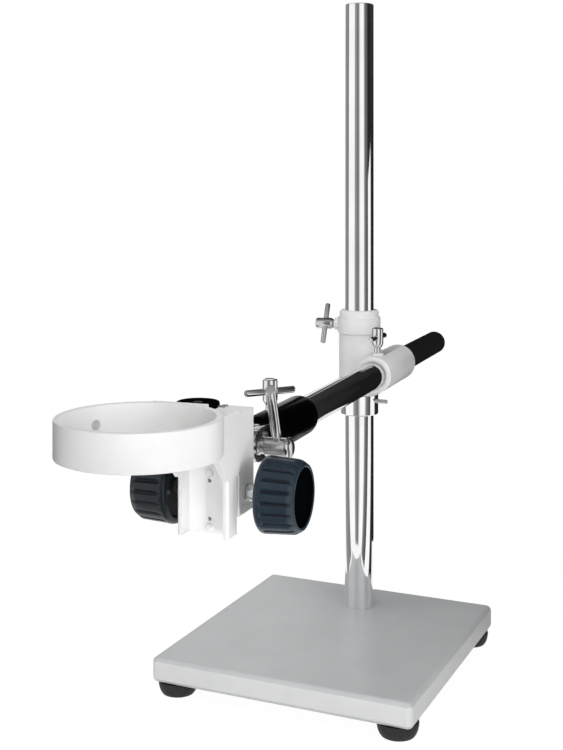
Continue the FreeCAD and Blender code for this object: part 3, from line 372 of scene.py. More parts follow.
def makeBaseEnamel():
    # Grey enamel over a ground casting: fine orange peel, faint clouding, a few dust specks
    paint = Paint("greyEnamel", Specular_IOR_Level=0.5)
    specks = paint.ramp(paint.cells(21), (0.0, 1.0), (0.018, 1.0), (0.03, 0.0))
    tone = paint.clouds(38, 4, *shades["greyEnamel"])
    peel = paint.noise(0.9, 2) * 0.6 + paint.noise(2.6, 2) * 0.4
    return paint.feed(Base_Color=paint.blend(specks * 0.35, tone, dust),
                      Roughness=0.34 + paint.noise(6) * 0.12, Normal=paint.bump(peel, 0.35, 0.06))


def makeChrome(name, tint, roughness, wave, along=(1, 1, 1)):
    # Plated steel: a mirror with slight waves along the rod and hairline polishing marks
    paint = Paint(name, Metallic=1.0)
    streak = paint.noise(5.5, 2, 0.5, paint.stretched(*along))
    hair = paint.noise(0.5, 2, 0.5, paint.stretched(1, 1, 0.02))
    tone = paint.clouds(30, 2, dimmed(tint, 0.95), tint, 0.35, 0.65)
    return paint.feed(Base_Color=tone, Roughness=roughness + hair * 0.04,
                      Normal=paint.bump(streak, wave, 0.12))


def makeWhiteEnamel():
    paint = Paint("whiteEnamel", Specular_IOR_Level=0.5)
    return paint.feed(Base_Color=paint.clouds(26, 3, *shades["whiteEnamel"]),
                      Roughness=0.32 + paint.noise(8) * 0.1, Normal=paint.bump(paint.noise(1.4), 0.25, 0.05))


def makeHubEnamel():
    # Off-white enamel over a sand casting, with soft hollows and small nibs
    paint = Paint("hubEnamel", Specular_IOR_Level=0.5)
    nibs = paint.ramp(paint.cells(4.5), (0.0, 1.0), (0.06, 0.0))
    height = paint.noise(6.5) * 0.8 + paint.noise(1.1, 2) * 0.15 + nibs * 0.12
    return paint.feed(Base_Color=paint.clouds(18, 3, *shades["hubEnamel"]),
                      Roughness=0.36 + paint.noise(5) * 0.12, Normal=paint.bump(height, 0.4, 0.16))


def makeGlossBlack():
    paint = Paint("glossBlack", Specular_IOR_Level=0.015)
    return paint.feed(Base_Color=paint.clouds(12, 3, *shades["glossBlack"], low=0.35),
                      Roughness=0.16 + paint.noise(2.0, 4) * 0.08,
                      Normal=paint.bump(paint.noise(3.2, 2), 0.22, 0.05))


def makeKnobPlastic(side, matrix, lobes, start, end, depth):
    # Dark slate moulding with a fine spark-eroded grain, with painted shade darkening it where a flute runs
    paint = Paint("slateKnob" + side, Specular_IOR_Level=0.42)
    grain = paint.noise(0.55, 3, 0.6)
    turn, along = paint.turnAbout(matrix)
    apart = paint.node("ShaderNodeMath", {"operation": "PINGPONG"}, {0: turn * (lobes / math.tau), 1: 0.5})
    flute = paint.ramp(apart, (0.06, 1.0), (0.12, 0.5), (0.17, 0.0)) \
        * paint.fade(along, start, start + 0.8) * paint.fade(along, end, end - 0.4)
    # The slate is dimmed for one knob: painted shade where that knob gets less light
    dark, light = (dimmed(colour, depth) for colour in shades["slateKnob"])
    tone = paint.clouds(9, 3, dark, light)
    # The flutes' darkening is painted shade, blended over the slate
    return paint.feed(Base_Color=paint.blend(flute * 0.85, tone, paintedFluteShade),
                      Roughness=0.24 + grain * 0.10 + flute * 0.3, Normal=paint.bump(grain, 0.3, 0.04))


def makeSteel(name, tint, roughness):
    paint = Paint(name, Metallic=1.0)
    grain = paint.noise(0.35, 3, 0.6)
    return paint.feed(Base_Color=paint.clouds(4, 3, dimmed(tint, 0.85), tint),
                      Roughness=roughness + grain * 0.15, Normal=paint.bump(grain, 0.25, 0.02))


print("paint")
greyEnamel = makeBaseEnamel()
sideEnamel = makeGrained("sideEnamel")
rodChrome = makeChrome("rodChrome", (0.95, 0.95, 0.955), 0.035, 0.14, (1, 1, 0.06))
boomChrome = makeChrome("boomChrome", (0.72, 0.72, 0.73), 0.05, 0.06, (1, 0.06, 1))
smallChrome = makeChrome("smallChrome", (0.78, 0.78, 0.78), 0.06, 0.05)
satinSteel = makeChrome("satinSteel", (0.58, 0.58, 0.575), 0.13, 0.03)
leverSteel = makeChrome("leverSteel", (0.72, 0.72, 0.725), 0.15, 0.02)
knuckleChrome = makeChrome("knuckleChrome", (0.74, 0.74, 0.745), 0.17, 0.05)
whiteEnamel = makeWhiteEnamel()
hubEnamel = makeHubEnamel()
glossBlack = makeGlossBlack()
blackPlastic = makeGrained("blackPlastic")
mattBlack = makeGrained("mattBlack")
footRubber = makeGrained("footRubber")
bushPlastic = makeGrained("bushPlastic")
plainSteel = makeSteel("plainSteel", (0.50, 0.50, 0.49), 0.28)
gearSteel = makeSteel("gearSteel", (0.42, 0.42, 0.41), 0.32)
slideAlloy = makeSteel("slideAlloy", (0.62, 0.62, 0.62), 0.25)
tipPaint = makeSteel("tipPaint", (0.95, 0.95, 0.945), 0.5)
paleBrass = makeSteel("paleBrass", (0.90, 0.84, 0.66), 0.3)

nodePaint = {
    "foot_screws": plainSteel, "column_bolt": plainSteel, "column_washer": plainSteel,
    "fork_set_screw": plainSteel, "tongue_screws": plainSteel, "rack_screws": whiteEnamel,
    "rack_dowels": plainSteel, "ring_screws": whiteEnamel, "arm_lock_stud": blackPlastic,
    "arm_lock_pin": plainSteel, "rack": gearSteel, "pinion_shaft": gearSteel,
    "dovetail_slide": slideAlloy, "way_screw": paleBrass,
}
for node, paint in nodePaint.items():
    for place in frame["nodes"][node].material_slots:
        place.material = paint


# Base plate, feet and column

basePlate = {  # each edge's width and segments, and the bores' radii
    "corner": (4.5, 10), "topEdge": (1.6, 5), "bottomEdge": (0.8, 2), "boreSegments": 128,
    "washerRecess": 12, "boltHole": 5.5, "spigotHole": 8.05, "columnSeat": 12.55,
}


def shoulderHeight():
    # Where the column's wide part starts, a little below the plate's face
    points = [vertex.co for vertex in frame["nodes"]["column"].data.vertices]
    return min(point.z for point in points if point.xy.length > 10 * mm) / mm


def makeBasePlate():
    low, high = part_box("base_plate")
    size, centre = high - low, (low + high) / 2
    bpy.ops.object.select_all(action="DESELECT")
    bpy.ops.mesh.primitive_cube_add(size=1, location=centre, scale=size)
    plate = bpy.context.object
    plate.name = "basePlate"
    applyPlace(plate)
    level = 0.01 * mm
    edges = {
        "corner": lambda a, b: abs(a.z - b.z) > mm,
        "topEdge": lambda a, b: min(a.z, b.z) > high.z - level,
        "bottomEdge": lambda a, b: max(a.z, b.z) < low.z + level,
    }
    for name, test in edges.items():
        width, segments = basePlate[name]
        clearSelection(plate)
        for edge in plate.data.edges:
            edge.select = test(*(plate.data.vertices[i].co for i in edge.vertices))
        onlyThis(plate)
        bpy.ops.object.mode_set(mode="EDIT")
        bpy.ops.mesh.select_mode(type="EDGE")
        bpy.ops.mesh.bevel(offset=width * mm, segments=segments, affect="EDGES")
        bpy.ops.object.mode_set(mode="OBJECT")
    web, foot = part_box("column_washer")[1].z / mm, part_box("column")[0].z / mm
    shoulder, past = shoulderHeight(), 1
    recess, bolt = basePlate["washerRecess"], basePlate["boltHole"]
    spigot, seat = basePlate["spigotHole"], basePlate["columnSeat"]
    cutAway(plate, turned("pocket", [(recess, low.z / mm - past), (recess, web), (bolt, web), (bolt, foot),
                                     (spigot, foot), (spigot, shoulder), (seat, shoulder),
                                     (seat, high.z / mm + past)], basePlate["boreSegments"]))
    finish(plate, "stand", greyEnamel, "base_plate", angle=30)
    # The sawn sides, but not the pocket's walls
    paintFaces(plate, sideEnamel, lambda face: abs(face.normal.z) < 0.3
               and face.center.xy.length > 2 * seat * mm)


footShape = {
    "segments": 72, "height": 10.5, "screwHole": 2.6, "headHole": 5.6, "headSeat": 4.4,
    "side": [(5.6, 0.6), (6.2, 0.0), (11.2, 0.0), (12.4, 0.5), (13.6, 2.2), (14.6, 4.6), (15.2, 7.4),
             (15.4, 9.6)],
    "topRadius": 15.2,
}


def makeFeet():
    low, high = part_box("rubber_feet")
    side, height, hole = footShape["side"], footShape["height"], footShape["screwHole"]
    inset = side[-1][0] * mm
    outline = [(hole, footShape["headSeat"]), (footShape["headHole"], footShape["headSeat"])] + side + \
        [(footShape["topRadius"], height), (hole, height)]
    foot = turned("rubberFeet", outline, footShape["segments"], True)
    feet = []
    for x in (low.x + inset, high.x - inset):
        for y in (low.y + inset, high.y - inset):
            each = copyOf(foot)
            each.location = (x, y, low.z)
            applyPlace(each)
            feet.append(each)
    bpy.data.objects.remove(foot)
    finish(join(*feet), "stand", footRubber, "rubber_feet", angle=40)


columnShape = {"segments": 160, "spigot": 8, "chamfer": 0.9, "centreHole": 2.2, "centreTip": 0.3}


def makeColumn():
    low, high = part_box("column")
    seat, top = shoulderHeight(), high.z / mm
    radius = (high.x - low.x) / 2 / mm
    spigot, chamfer, hole = columnShape["spigot"], columnShape["chamfer"], columnShape["centreHole"]
    rod = turned("column", [(spigot, low.z / mm), (spigot, seat), (radius, seat)] +
                 brokenEdge(radius, top, chamfer, chamfer) +
                 [(hole, top), (columnShape["centreTip"], top - hole)], columnShape["segments"])
    finish(rod, "stand", rodChrome, "column", angle=25)


print("base and column")
makeBasePlate()
makeFeet()
makeColumn()


# Safety collar

collarShape = {"segments": 128, "chamfer": 0.7, "boreEdge": 0.4, "pinHole": 2.05}
collarPin = {
    "segments": 48, "radius": 2, "headRadius": 1.75, "headStart": (-1, 0.2),  # from the collar's side
    "end": [(0.0, 0.6), (0.15, 0.2), (0.5, 0.0)],
}


def makeCollar():
    low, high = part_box("safety_collar")
    radius, bore = (high.x - low.x) / 2 / mm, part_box("column")[1].x / mm + loose
    bottom, top = low.z / mm, high.z / mm
    edge, inner = collarShape["chamfer"], collarShape["boreEdge"]
    ring = turned("safetyCollar", [(bore, bottom + inner), (bore + inner, bottom), (radius - edge, bottom),
                                   (radius, bottom + edge), (radius, top - edge), (radius - edge, top),
                                   (bore + inner, top), (bore, top - inner)], collarShape["segments"], True)
    place, axis = axisOf("collar_screw_turn")
    cutAway(ring, setPlace(drill(collarShape["pinHole"], radius / 4, radius * 2), onAxis(place, axis)))
    finish(ring, "collar", rodChrome, "safety_collar", angle=25)
    start, end, _ = span("collar_screw", place, axis)
    shank, head = collarPin["radius"], collarPin["headRadius"]
    inside, outside = (radius + reach for reach in collarPin["headStart"])
    pin = turned("collarPin", [(0, start), (shank, start), (shank, inside), (head, outside)] +
                 steps(head, end, collarPin["end"], -1) + [(0, end)], collarPin["segments"])
    setPlace(pin, onAxis(place, axis))
    finish(pin, "collar_screw", smallChrome, "collar_screw", angle=25)


print("collar")
makeCollar()


# Clamp screws with their tommy bars

clampScrew = {
    "headRadius": 4.8, "neckRadius": 2.9, "tip": 0.8, "socket": 3.4, "socketEdge": 0.5, "socketDepth": 0.35,
    "neckFillet": [(0.0, -0.2), (-0.3, 0.0)],
    "headFoot": [(1.3, 0.3), (0.25, 2.2), (0.0, 2.9)],
    "headTop": [(0.0, 1.1), (0.25, 0.5), (0.8, 0.1)],
}
tommyBar = {
    "segments": 48, "radius": 2.2, "hollow": 0.35,
    "end": [(0.0, 0.9), (0.12, 0.45), (0.45, 0.05), (0.9, 0.0), (1.1, 0.3)],
}


def makeClampScrew(joint, body, screw, bar, paint):
    origin, axis = axisOf(joint)
    start, end, _ = span(screw, origin, axis)
    barPoints = [Vector(v.co) for v in frame["nodes"][bar].data.vertices]
    barCentre = sum(barPoints, Vector()) / len(barPoints)
    middle = (barCentre - origin).dot(axis) / mm
    headLow = middle - (end - middle)
    head, neck, tip = clampScrew["headRadius"], clampScrew["neckRadius"], clampScrew["tip"]
    socket, floor = clampScrew["socket"], end - clampScrew["socketDepth"]
    shaft = turned(screw + ".turned", [(0, start), (neck - tip, start), (neck, start + tip)] +
                   steps(neck, headLow, clampScrew["neckFillet"]) +
                   steps(head, headLow, clampScrew["headFoot"]) +
                   steps(head, end, clampScrew["headTop"], -1) +
                   [(socket, end), (socket - clampScrew["socketEdge"], floor), (0, floor)])
    # The bar's own direction comes from its farthest point
    barAxis = max(barPoints, key=lambda point: (point - barCentre).length) - barCentre
    barAxis = (barAxis - axis * barAxis.dot(axis)).normalized()
    low, high, _ = span(bar, barCentre, barAxis)
    radius, hollow = tommyBar["radius"], tommyBar["hollow"]
    setPlace(shaft, onAxis(origin, axis))
    past = 2 * head
    cutAway(shaft, setPlace(drill(radius + loose, -past, past), onAxis(barCentre, barAxis)))
    finish(shaft, body, paint, screw, angle=25)
    rod = turned(bar + ".turned", [(0, low + hollow)] + steps(radius, low, tommyBar["end"][::-1]) +
                 steps(radius, high, tommyBar["end"], -1) + [(0, high - hollow)], tommyBar["segments"])
    setPlace(rod, onAxis(barCentre, barAxis))
    finish(rod, body, paint, bar, angle=30)


print("clamp screws")
for name, paint in (("column", satinSteel), ("boom", smallChrome), ("sleeve", smallChrome)):
    body = name + "_clamp"
    makeClampScrew(body + "_turn", body, body + "_screw", body + "_tommy_bar", paint)


# Cross clamp

hubShape = {
    "segments": 144, "flat": 0.1, "tube": 17.4, "bandHeight": 13.2,
    "crease": 0.6, "creaseHeight": 0.7, "creaseOut": 2, "cuts": (1.6, 3.5, 6, 9, 12, 15),
}


def makeHub():
    hub = meshOf("cross_hub", hubShape["flat"])
    # A crease in the paint under the band
    band = axisOf("column_clamp_turn")[0].z / mm - hubShape["bandHeight"] / 2
    deep, wide = hubShape["tube"] - hubShape["crease"], hubShape["tube"] + hubShape["creaseOut"]
    low = band - hubShape["creaseHeight"]
    cutAway(hub, turned("crease", [(deep, low), (wide, low), (wide, band), (deep, band)],
                        hubShape["segments"], True))
    # Rings of points down the tube keep the saddle's shading from running up it
    for down in hubShape["cuts"]:
        editAll(hub)
        bpy.ops.mesh.bisect(plane_co=(0, 0, (band - down) * mm), plane_no=(0, 0, 1))
        bpy.ops.object.mode_set(mode="OBJECT")
    finish(hub, "cross_hub", hubEnamel, "cross_hub", angle=28)


boomBush = {"segments": 128, "mouth": [(-0.5, 0.0), (0.0, 0.5)], "side": [(0.0, 0.2), (0.15, 0.0)]}


def makeBoomBush():
    low, high, outer = span("boom_bush", boomPlace, boomBack)
    inner = span("boom_rod", boomPlace, boomBack)[2] + loose
    mouth, side = boomBush["mouth"], boomBush["side"]
    bush = turned("boomBush", steps(inner, low, mouth[::-1]) + steps(outer, low, side[::-1]) +
                  steps(outer, high, side, -1) + steps(inner, high, mouth, -1), boomBush["segments"], True)
    setPlace(bush, onAxis(boomPlace, boomBack))
    finish(bush, "cross_hub", bushPlastic, "boom_bush", angle=25)


print("cross clamp")
makeHub()
makeBoomBush()


# Boom and arm end

boomShape = {
    "segments": 144, "chamfer": 1.0, "rearRound": 2.2, "rearAngles": (0, 15, 30, 45, 60, 75, 90),
    "centreHole": 2.0, "centreTip": 0.3,
}


def makeBoom():
    low, high, radius = span("boom_rod", boomPlace, boomBack)
    chamfer, hole, tip = boomShape["chamfer"], boomShape["centreHole"], boomShape["centreTip"]
    rod = turned("boomRod", [(tip, low + hole), (hole, low)] +
                 brokenEdge(radius, low, chamfer, -chamfer)[::-1] +
                 roundEdge(radius, high, boomShape["rearRound"], boomShape["rearAngles"]) +
                 [(hole, high), (tip, high - hole)], boomShape["segments"])
    setPlace(rod, onAxis(boomPlace, boomBack))
    finish(rod, "boom", boomChrome, "boom_rod", angle=25)


sleeveShape = {
    "segments": 144, "stem": 6.05, "rearRound": 1.8, "rearAngles": (0, 22, 45, 68, 90), "frontRound": 1.0,
    "mouth": 0.6, "gap": 0.3, "screwHole": (2.95, -26, 10),
}


def makeSleeve():
    low, high, radius = span("arm_sleeve", boomPlace, boomBack)
    rodStart, _, rodRadius = span("boom_rod", boomPlace, boomBack)
    bore, wall = rodRadius + loose, rodStart - sleeveShape["gap"]
    front, mouth, stem = sleeveShape["frontRound"], sleeveShape["mouth"], sleeveShape["stem"]
    sleeve = turned("armSleeve", [(stem, low)] + brokenEdge(radius, low, front, -front)[::-1] +
                    roundEdge(radius, high, sleeveShape["rearRound"], sleeveShape["rearAngles"]) +
                    [(bore + mouth, high), (bore, high - mouth), (bore, wall), (stem, wall)],
                    sleeveShape["segments"], True)
    setPlace(sleeve, onAxis(boomPlace, boomBack))
    cutAway(sleeve, setPlace(drill(*sleeveShape["screwHole"]), onAxis(*axisOf("sleeve_clamp_turn"))))
    finish(sleeve, "arm_end", glossBlack, "arm_sleeve", angle=25)


print("boom and sleeve")
makeBoom()
makeSleeve()


# Tilt knuckle

castingEdge = {"tilt_fork": 0.7, "tilt_tongue": 0.5, "slide_arm": 0.7, "pinion_housing": 0.5}


def makeCasting(node, body, paint, weigh=False):
    piece = meshOf(node)
    soften(piece, castingEdge[node])
    finish(piece, body, paint, node, angle=30, weigh=weigh)


boltShape = {
    "headSeat": -9.3, "shank": 4, "tipRadius": 3.2, "tipLength": 0.8,
    "dome": [(0.45, 0.2), (0.75, 0.9), (0.94, 2.0), (1.0, 3.3)],  # shares of the head's radius, and heights
}


def makeTiltBolt():
    place, axis = axisOf("head_tilt")
    low, high, head = span("tilt_bolt", place, axis)
    seat, shank = boltShape["headSeat"], boltShape["shank"]
    bolt = turned("tiltBolt", [(0, low)] + [(head * share, low + up) for share, up in boltShape["dome"]] +
                  [(head, seat), (shank, seat), (shank, high - boltShape["tipLength"]),
                   (boltShape["tipRadius"], high), (0, high)])
    setPlace(bolt, onAxis(place, axis))
    finish(bolt, "arm_end", knuckleChrome, "tilt_bolt", angle=30)


nutShape = {
    "segments": 112, "bore": 4.05, "boreDepth": 12.0, "boreTip": 0.2,
    "neck": 4.6, "neckHeight": 4.6, "foot": [(-0.3, 0.0), (-0.9, 0.4), (0.0, 1.2)], "neckTop": 0.8,
    "barrel": 5.9, "barrelFoot": [(0.3, 0.0), (0.0, 0.5)], "groove": [(0.0, 1.3), (0.5, 1.0), (0.5, 0.7)],
    "dome": 6.7, "domeHeight": 3.2, "domeEdge": [(0.3, 0.5)], "domeAngles": (0, 15, 30, 45, 60, 75),
}


def makeClampNut():
    place, axis = axisOf("tilt_lever_turn")
    low, high, _ = span("clamp_nut", place, axis)
    bore, neck, barrel, dome = nutShape["bore"], nutShape["neck"], nutShape["barrel"], nutShape["dome"]
    shoulder, ball = low + nutShape["neckHeight"], high - nutShape["domeHeight"]
    floor, tip = low + nutShape["boreDepth"], nutShape["boreTip"]
    centre = ball - tip
    angles = [math.radians(a) for a in nutShape["domeAngles"]]
    cap = [(dome * math.cos(a), centre + (high - centre) * math.sin(a)) for a in angles]
    nut = turned("clampNut", [(bore, low)] + steps(neck, low, nutShape["foot"]) +
                 [(neck, shoulder - nutShape["neckTop"])] + steps(barrel, shoulder, nutShape["barrelFoot"]) +
                 steps(barrel, ball, nutShape["groove"], -1) + steps(dome, ball, nutShape["domeEdge"], -1) +
                 cap + [(0, high), (0, floor + tip), (bore, floor)], nutShape["segments"], True)
    setPlace(nut, onAxis(place, axis))
    finish(nut, "tilt_lever", knuckleChrome, "clamp_nut", angle=30)


leverShape = {
    "segments": 72, "taper": [(0.9, 0.0), (0.5, 1.5), (0.0, 3.5)], "edge": 0.45,
    "slant": (0.82, 0.57), "slantFrom": 0.72,  # its direction, and a share of the radius
}


def makeLever():
    place, axis = axisOf("tilt_lever_turn")
    points = [Vector(v.co) for v in frame["nodes"]["clamp_lever"].data.vertices]
    middle = sum(points, Vector()) / len(points)
    foot = place + axis * (middle - place).dot(axis)
    way = (middle - foot).normalized()
    start, end, radius = span("clamp_lever", foot, way)
    rod = turned("leverRod", [(0, start)] + steps(radius, start, leverShape["taper"]) +
                 [(radius, end), (0, end)], leverShape["segments"])
    # The far end is cut off at a slant and its edge broken
    setPlace(rod, onAxis(foot, way))
    editAll(rod)
    up, forward = leverShape["slant"]
    spot = foot + way * (end - radius * leverShape["slantFrom"]) * mm
    bpy.ops.mesh.bisect(plane_co=spot, plane_no=(way * up - boomBack * forward).normalized(), use_fill=True,
                        clear_outer=True, clear_inner=False)
    bpy.ops.object.mode_set(mode="OBJECT")
    soften(rod, leverShape["edge"], angle=30)
    finish(rod, "tilt_lever", leverSteel, "clamp_lever", angle=30)


print("tilt knuckle")
makeCasting("tilt_fork", "arm_end", knuckleChrome)
makeCasting("tilt_tongue", "focus_block", knuckleChrome)
makeTiltBolt()
makeClampNut()
makeLever()


# Focus drive

shaftBore = 3.55
knobShape = {
    "lobes": 20, "perLobe": 14, "fluteDepth": 1.3, "fluteStart": 4.2, "frontDepth": 3.0, "smallest": 19,
    "lobe": {0: 1.0, 1: 0.88, 2: 0.5, 3: 0.06},  # how deep each point from a flute's middle on is drawn in
    "back": [(16.8, 2.4), (17.8, 1.2), (18.2, 0.0)],  # radius and height
    "rearEdge": [(1.9, 0.0), (0.9, 0.35), (0.25, 1.1), (0.0, 2.2)],
    "fluteEdge": [(0.05, -0.5), (0.07, 0.0), (0.10, 0.9)],  # about where the flutes start
    "taper": [(0.3, 0.3), (0.5, 0.5)],  # in from the radius, and the share of the length
    "front": [(0.9, 5.5), (1.0, 4.2), (1.35, 3.3), (2.2, 1.8), (3.1, 0.35), (4.0, 0.0)],  # flutes end at 3.3
    "recess": [(4.4, 0.05), (5.0, 0.5), (5.4, 3.0)],
    "rearFade": 0.55, "frontFade": 0.85,  # how deep the flutes still are at their two ends
    # How far each knob's slate is dimmed; the left knob's darker tone is painted shade
    "shade": {"Right": 1.0, "Left": 0.4},
}


def driveEnd(node, side):
    # A place on the drive's axis that looks to one side, and the node's reach there
    place, axis = axisOf("focus_drive")
    return onAxis(place, axis * side), *span(node, place, axis * side)


def makeKnob(side, name):
    node = "focus_knob_" + name.lower()
    matrix, low, high, wide = driveEnd(node, side)
    start, floor = low + knobShape["fluteStart"], high - knobShape["frontDepth"]
    lobes, perLobe = knobShape["lobes"], knobShape["perLobe"]
    segments = lobes * perLobe
    back = [(radius, low + up) for radius, up in knobShape["back"]]
    taper = [(wide - inset, low + (high - low) * share) for inset, share in knobShape["taper"]]
    profile = [(shaftBore, back[0][1])] + back + steps(wide, low, knobShape["rearEdge"]) + \
        steps(wide, start, knobShape["fluteEdge"]) + taper + \
        steps(wide, high, knobShape["front"] + knobShape["recess"], -1) + [(shaftBore, floor)]
    knob = turned(node + ".moulded", profile, segments, True)
    # Every lobe's first few columns of points are drawn in to make the flutes
    same, end = 0.01, high - knobShape["front"][2][1]
    for step, depth in knobShape["lobe"].items():
        for radius, height in profile:
            if not start - same <= height <= end + same or radius < knobShape["smallest"]:
                continue
            fade = 1.0
            if height < start + same:
                fade = knobShape["rearFade"]
            elif height > end - same:
                fade = knobShape["frontFade"]
            clearSelection(knob)
            for vertex in knob.data.vertices:
                out = vertex.co.xy.length / mm
                if abs(vertex.co.z / mm - height) < same and abs(out - radius) < 2 * same:
                    turn = round(math.atan2(vertex.co.y, vertex.co.x) / math.tau * segments)
                    vertex.select = min(turn % perLobe, -turn % perLobe) == step
            onlyThis(knob)
            bpy.ops.object.mode_set(mode="EDIT")
            bpy.ops.mesh.select_mode(type="VERT")
            amount = 1 - knobShape["fluteDepth"] * depth * fade / radius
            bpy.ops.transform.resize(value=(amount, amount, 1), center_override=(0, 0, height * mm))
            bpy.ops.object.mode_set(mode="OBJECT")
    setPlace(knob, matrix)
    paint = makeKnobPlastic(name, matrix, lobes, start, end, knobShape["shade"][name])
    finish(knob, "pinion", paint, node, angle=40)
    inverse, recess = matrix.inverted(), wide - knobShape["recess"][1][0]

    def inRecess(face):
        centre = inverse @ face.center
        return centre.z > (floor - 0.2) * mm and centre.xy.length < (recess + 0.2) * mm
    # Painted shade: the recess's walls and floor are painted matt black so its inside reads dark
    paintFaces(knob, mattBlack, inRecess)


capShape = {"hollow": 6.5, "hollowDepth": 0.5, "edge": [(0.0, 0.9), (0.3, 0.35), (0.9, 0.0)]}


def makeKnobCap(side, name):
    node = "knob_cap_" + name.lower()
    matrix, low, high, wide = driveEnd(node, side)
    hollow, floor = capShape["hollow"], low + capShape["hollowDepth"]
    cap = turned(node + ".moulded", [(0, floor), (hollow, floor), (hollow, low), (wide, low)] +
                 steps(wide, high, capShape["edge"], -1) + [(0, high)])
    setPlace(cap, matrix)
    finish(cap, "pinion", mattBlack, node, angle=30)


bushShape = {
    "flange": 15.5, "tube": 4.9, "groove": [(0.0, 17.2), (0.35, 17.5), (0.35, 18.1), (0.0, 18.4)],
    "end": [(0.0, 0.6), (0.4, 0.0)],
}


def makeBush(side, name):
    node = "pinion_bush_" + name.lower()
    matrix, low, high, wide = driveEnd(node, side)
    flange, tube = bushShape["flange"], bushShape["tube"]
    bush = turned(node + ".turned", [(shaftBore, low), (wide, low), (wide, flange), (tube, flange)] +
                  steps(tube, 0, bushShape["groove"]) + steps(tube, high, bushShape["end"], -1) +
                  [(shaftBore, high)], closed=True)
    setPlace(bush, matrix)
    finish(bush, "focus_block", knuckleChrome, node, angle=25)
    # The flange lies flush in the housing and is enamelled over with it
    axis, inverse = matrix.col[2].xyz, matrix.inverted()
    paintFaces(bush, whiteEnamel, lambda face: face.normal.dot(axis) > 0.9
               and abs((inverse @ face.center).z - flange * mm) < loose * mm)


print("focus drive")
for side, name in ((1, "Right"), (-1, "Left")):
    makeKnob(side, name)
    makeKnobCap(side, name)
    makeBush(side, name)


# Slide arm, housing and head ring

ringShape = {  # the holes with their radius, start and end
    "segments": 240, "edge": 0.8, "screwHole": (1.65, -1, 8), "screwSink": (2.65, -1.5, 1.5),
    "headHole": (2.55, -14, 8), "headSink": [(0, -14), (4.4, -14), (2.5, -11.4), (0, -11.4)],
}


def ringScrews():
    # Where the two screws pass from the bore into the arm
    centre = Vector(mounts["head_ring_bore"]["pos_m"])
    bore = mounts["head_ring_bore"]["dims"]["r_mm"] * mm
    points = [Vector(v.co) for v in frame["nodes"]["ring_screws"].data.vertices]
    level = (min(p.z for p in points) + max(p.z for p in points)) / 2
    places = []
    for sign in (-1, 1):
        group = [p for p in points if (p - centre).dot(boomSide) * sign > 0]
        middle = sum(group, Vector()) / len(group)
        way = Vector((middle.x - centre.x, middle.y - centre.y, 0)).normalized()
        start = Vector((centre.x, centre.y, level)) + way * bore
        places.append(onAxis(start, way))
    return places


def makeHeadRing():
    centre = Vector(mounts["head_ring_bore"]["pos_m"])
    bore = mounts["head_ring_bore"]["dims"]["r_mm"]
    low, high, outer = span("head_ring", centre, (0, 0, 1))
    edge = ringShape["edge"]
    ring = turned("headRing", brokenEdge(bore, low, -edge, -edge) +
                  brokenEdge(outer, low, edge, -edge)[::-1] + brokenEdge(outer, high, edge, edge) +
                  brokenEdge(bore, high, -edge, edge)[::-1], ringShape["segments"], True)
    setPlace(ring, Matrix.Translation(centre))
    side = onAxis(*axisOf("head_clamp_turn"))
    tools = [setPlace(drill(*ringShape["headHole"]), side),
             setPlace(turned("sink", ringShape["headSink"], 48), side)]
    for screw in ringScrews():
        tools.append(setPlace(drill(*ringShape["screwHole"]), screw))
        tools.append(setPlace(drill(*ringShape["screwSink"]), screw))
    for tool in tools:
        cutAway(ring, tool)
    finish(ring, "slide_arm", whiteEnamel, "head_ring", angle=25)


lockShape = {
    "segments": 144, "hole": 2.55, "foot": [(1.4, 0.0), (0.4, 0.5), (0.0, 1.2)],
    "top": [(0.0, 0.7), (0.25, 0.2), (0.6, 0.0), (1.5, 0.1), (2.4, 1.0)], "dish": 1.0,
}


def makeArmLock():
    place, axis = axisOf("arm_lock_turn")
    low, high, wide = span("arm_lock_knob", place, axis)
    hole = lockShape["hole"]
    knob = turned("armLockKnob", [(hole, low)] + steps(wide, low, lockShape["foot"]) +
                  steps(wide, high, lockShape["top"], -1) + [(hole, high - lockShape["dish"])],
                  lockShape["segments"], True)
    setPlace(knob, onAxis(place, axis))
    finish(knob, "arm_lock", mattBlack, "arm_lock_knob", angle=30)


headScrew = {
    "tip": 0.6, "hole": 2.55, "holeDepth": 1.9, "top": [(0.0, 1.0), (0.3, 0.4), (1.0, 0.0)],
    "foot": [(2.2, 0.0), (2.0, 0.3), (2.0, 1.4), (0.5, 1.8), (0.0, 2.4)],
}


def makeHeadClamp():
    place, axis = axisOf("head_clamp_turn")
    matrix = onAxis(place, axis)
    low, high, wide = span("head_clamp_screw", place, axis)
    tip = headScrew["tip"]
    screw = turned("head_clamp_screw.turned", [(0, low), (wide - tip, low), (wide, low + tip), (wide, high),
                                               (0, high)], 48)
    finish(setPlace(screw, matrix), "head_clamp", tipPaint, "head_clamp_screw", angle=30)
    low, high, wide = span("head_clamp_knob", place, axis)
    hole, floor = headScrew["hole"], high - headScrew["holeDepth"]
    knob = turned("head_clamp_knob.turned", [(hole, low)] + steps(wide, low, headScrew["foot"]) +
                  steps(wide, high, headScrew["top"], -1) + [(0, high), (0, floor), (hole, floor)],
                  closed=True)
    finish(setPlace(knob, matrix), "head_clamp", blackPlastic, "head_clamp_knob", angle=30)


print("castings and ring")
makeCasting("slide_arm", "slide_arm", whiteEnamel, True)
makeCasting("pinion_housing", "focus_block", whiteEnamel, True)
makeHeadRing()
makeArmLock()
makeHeadClamp()


# Floor, light and camera

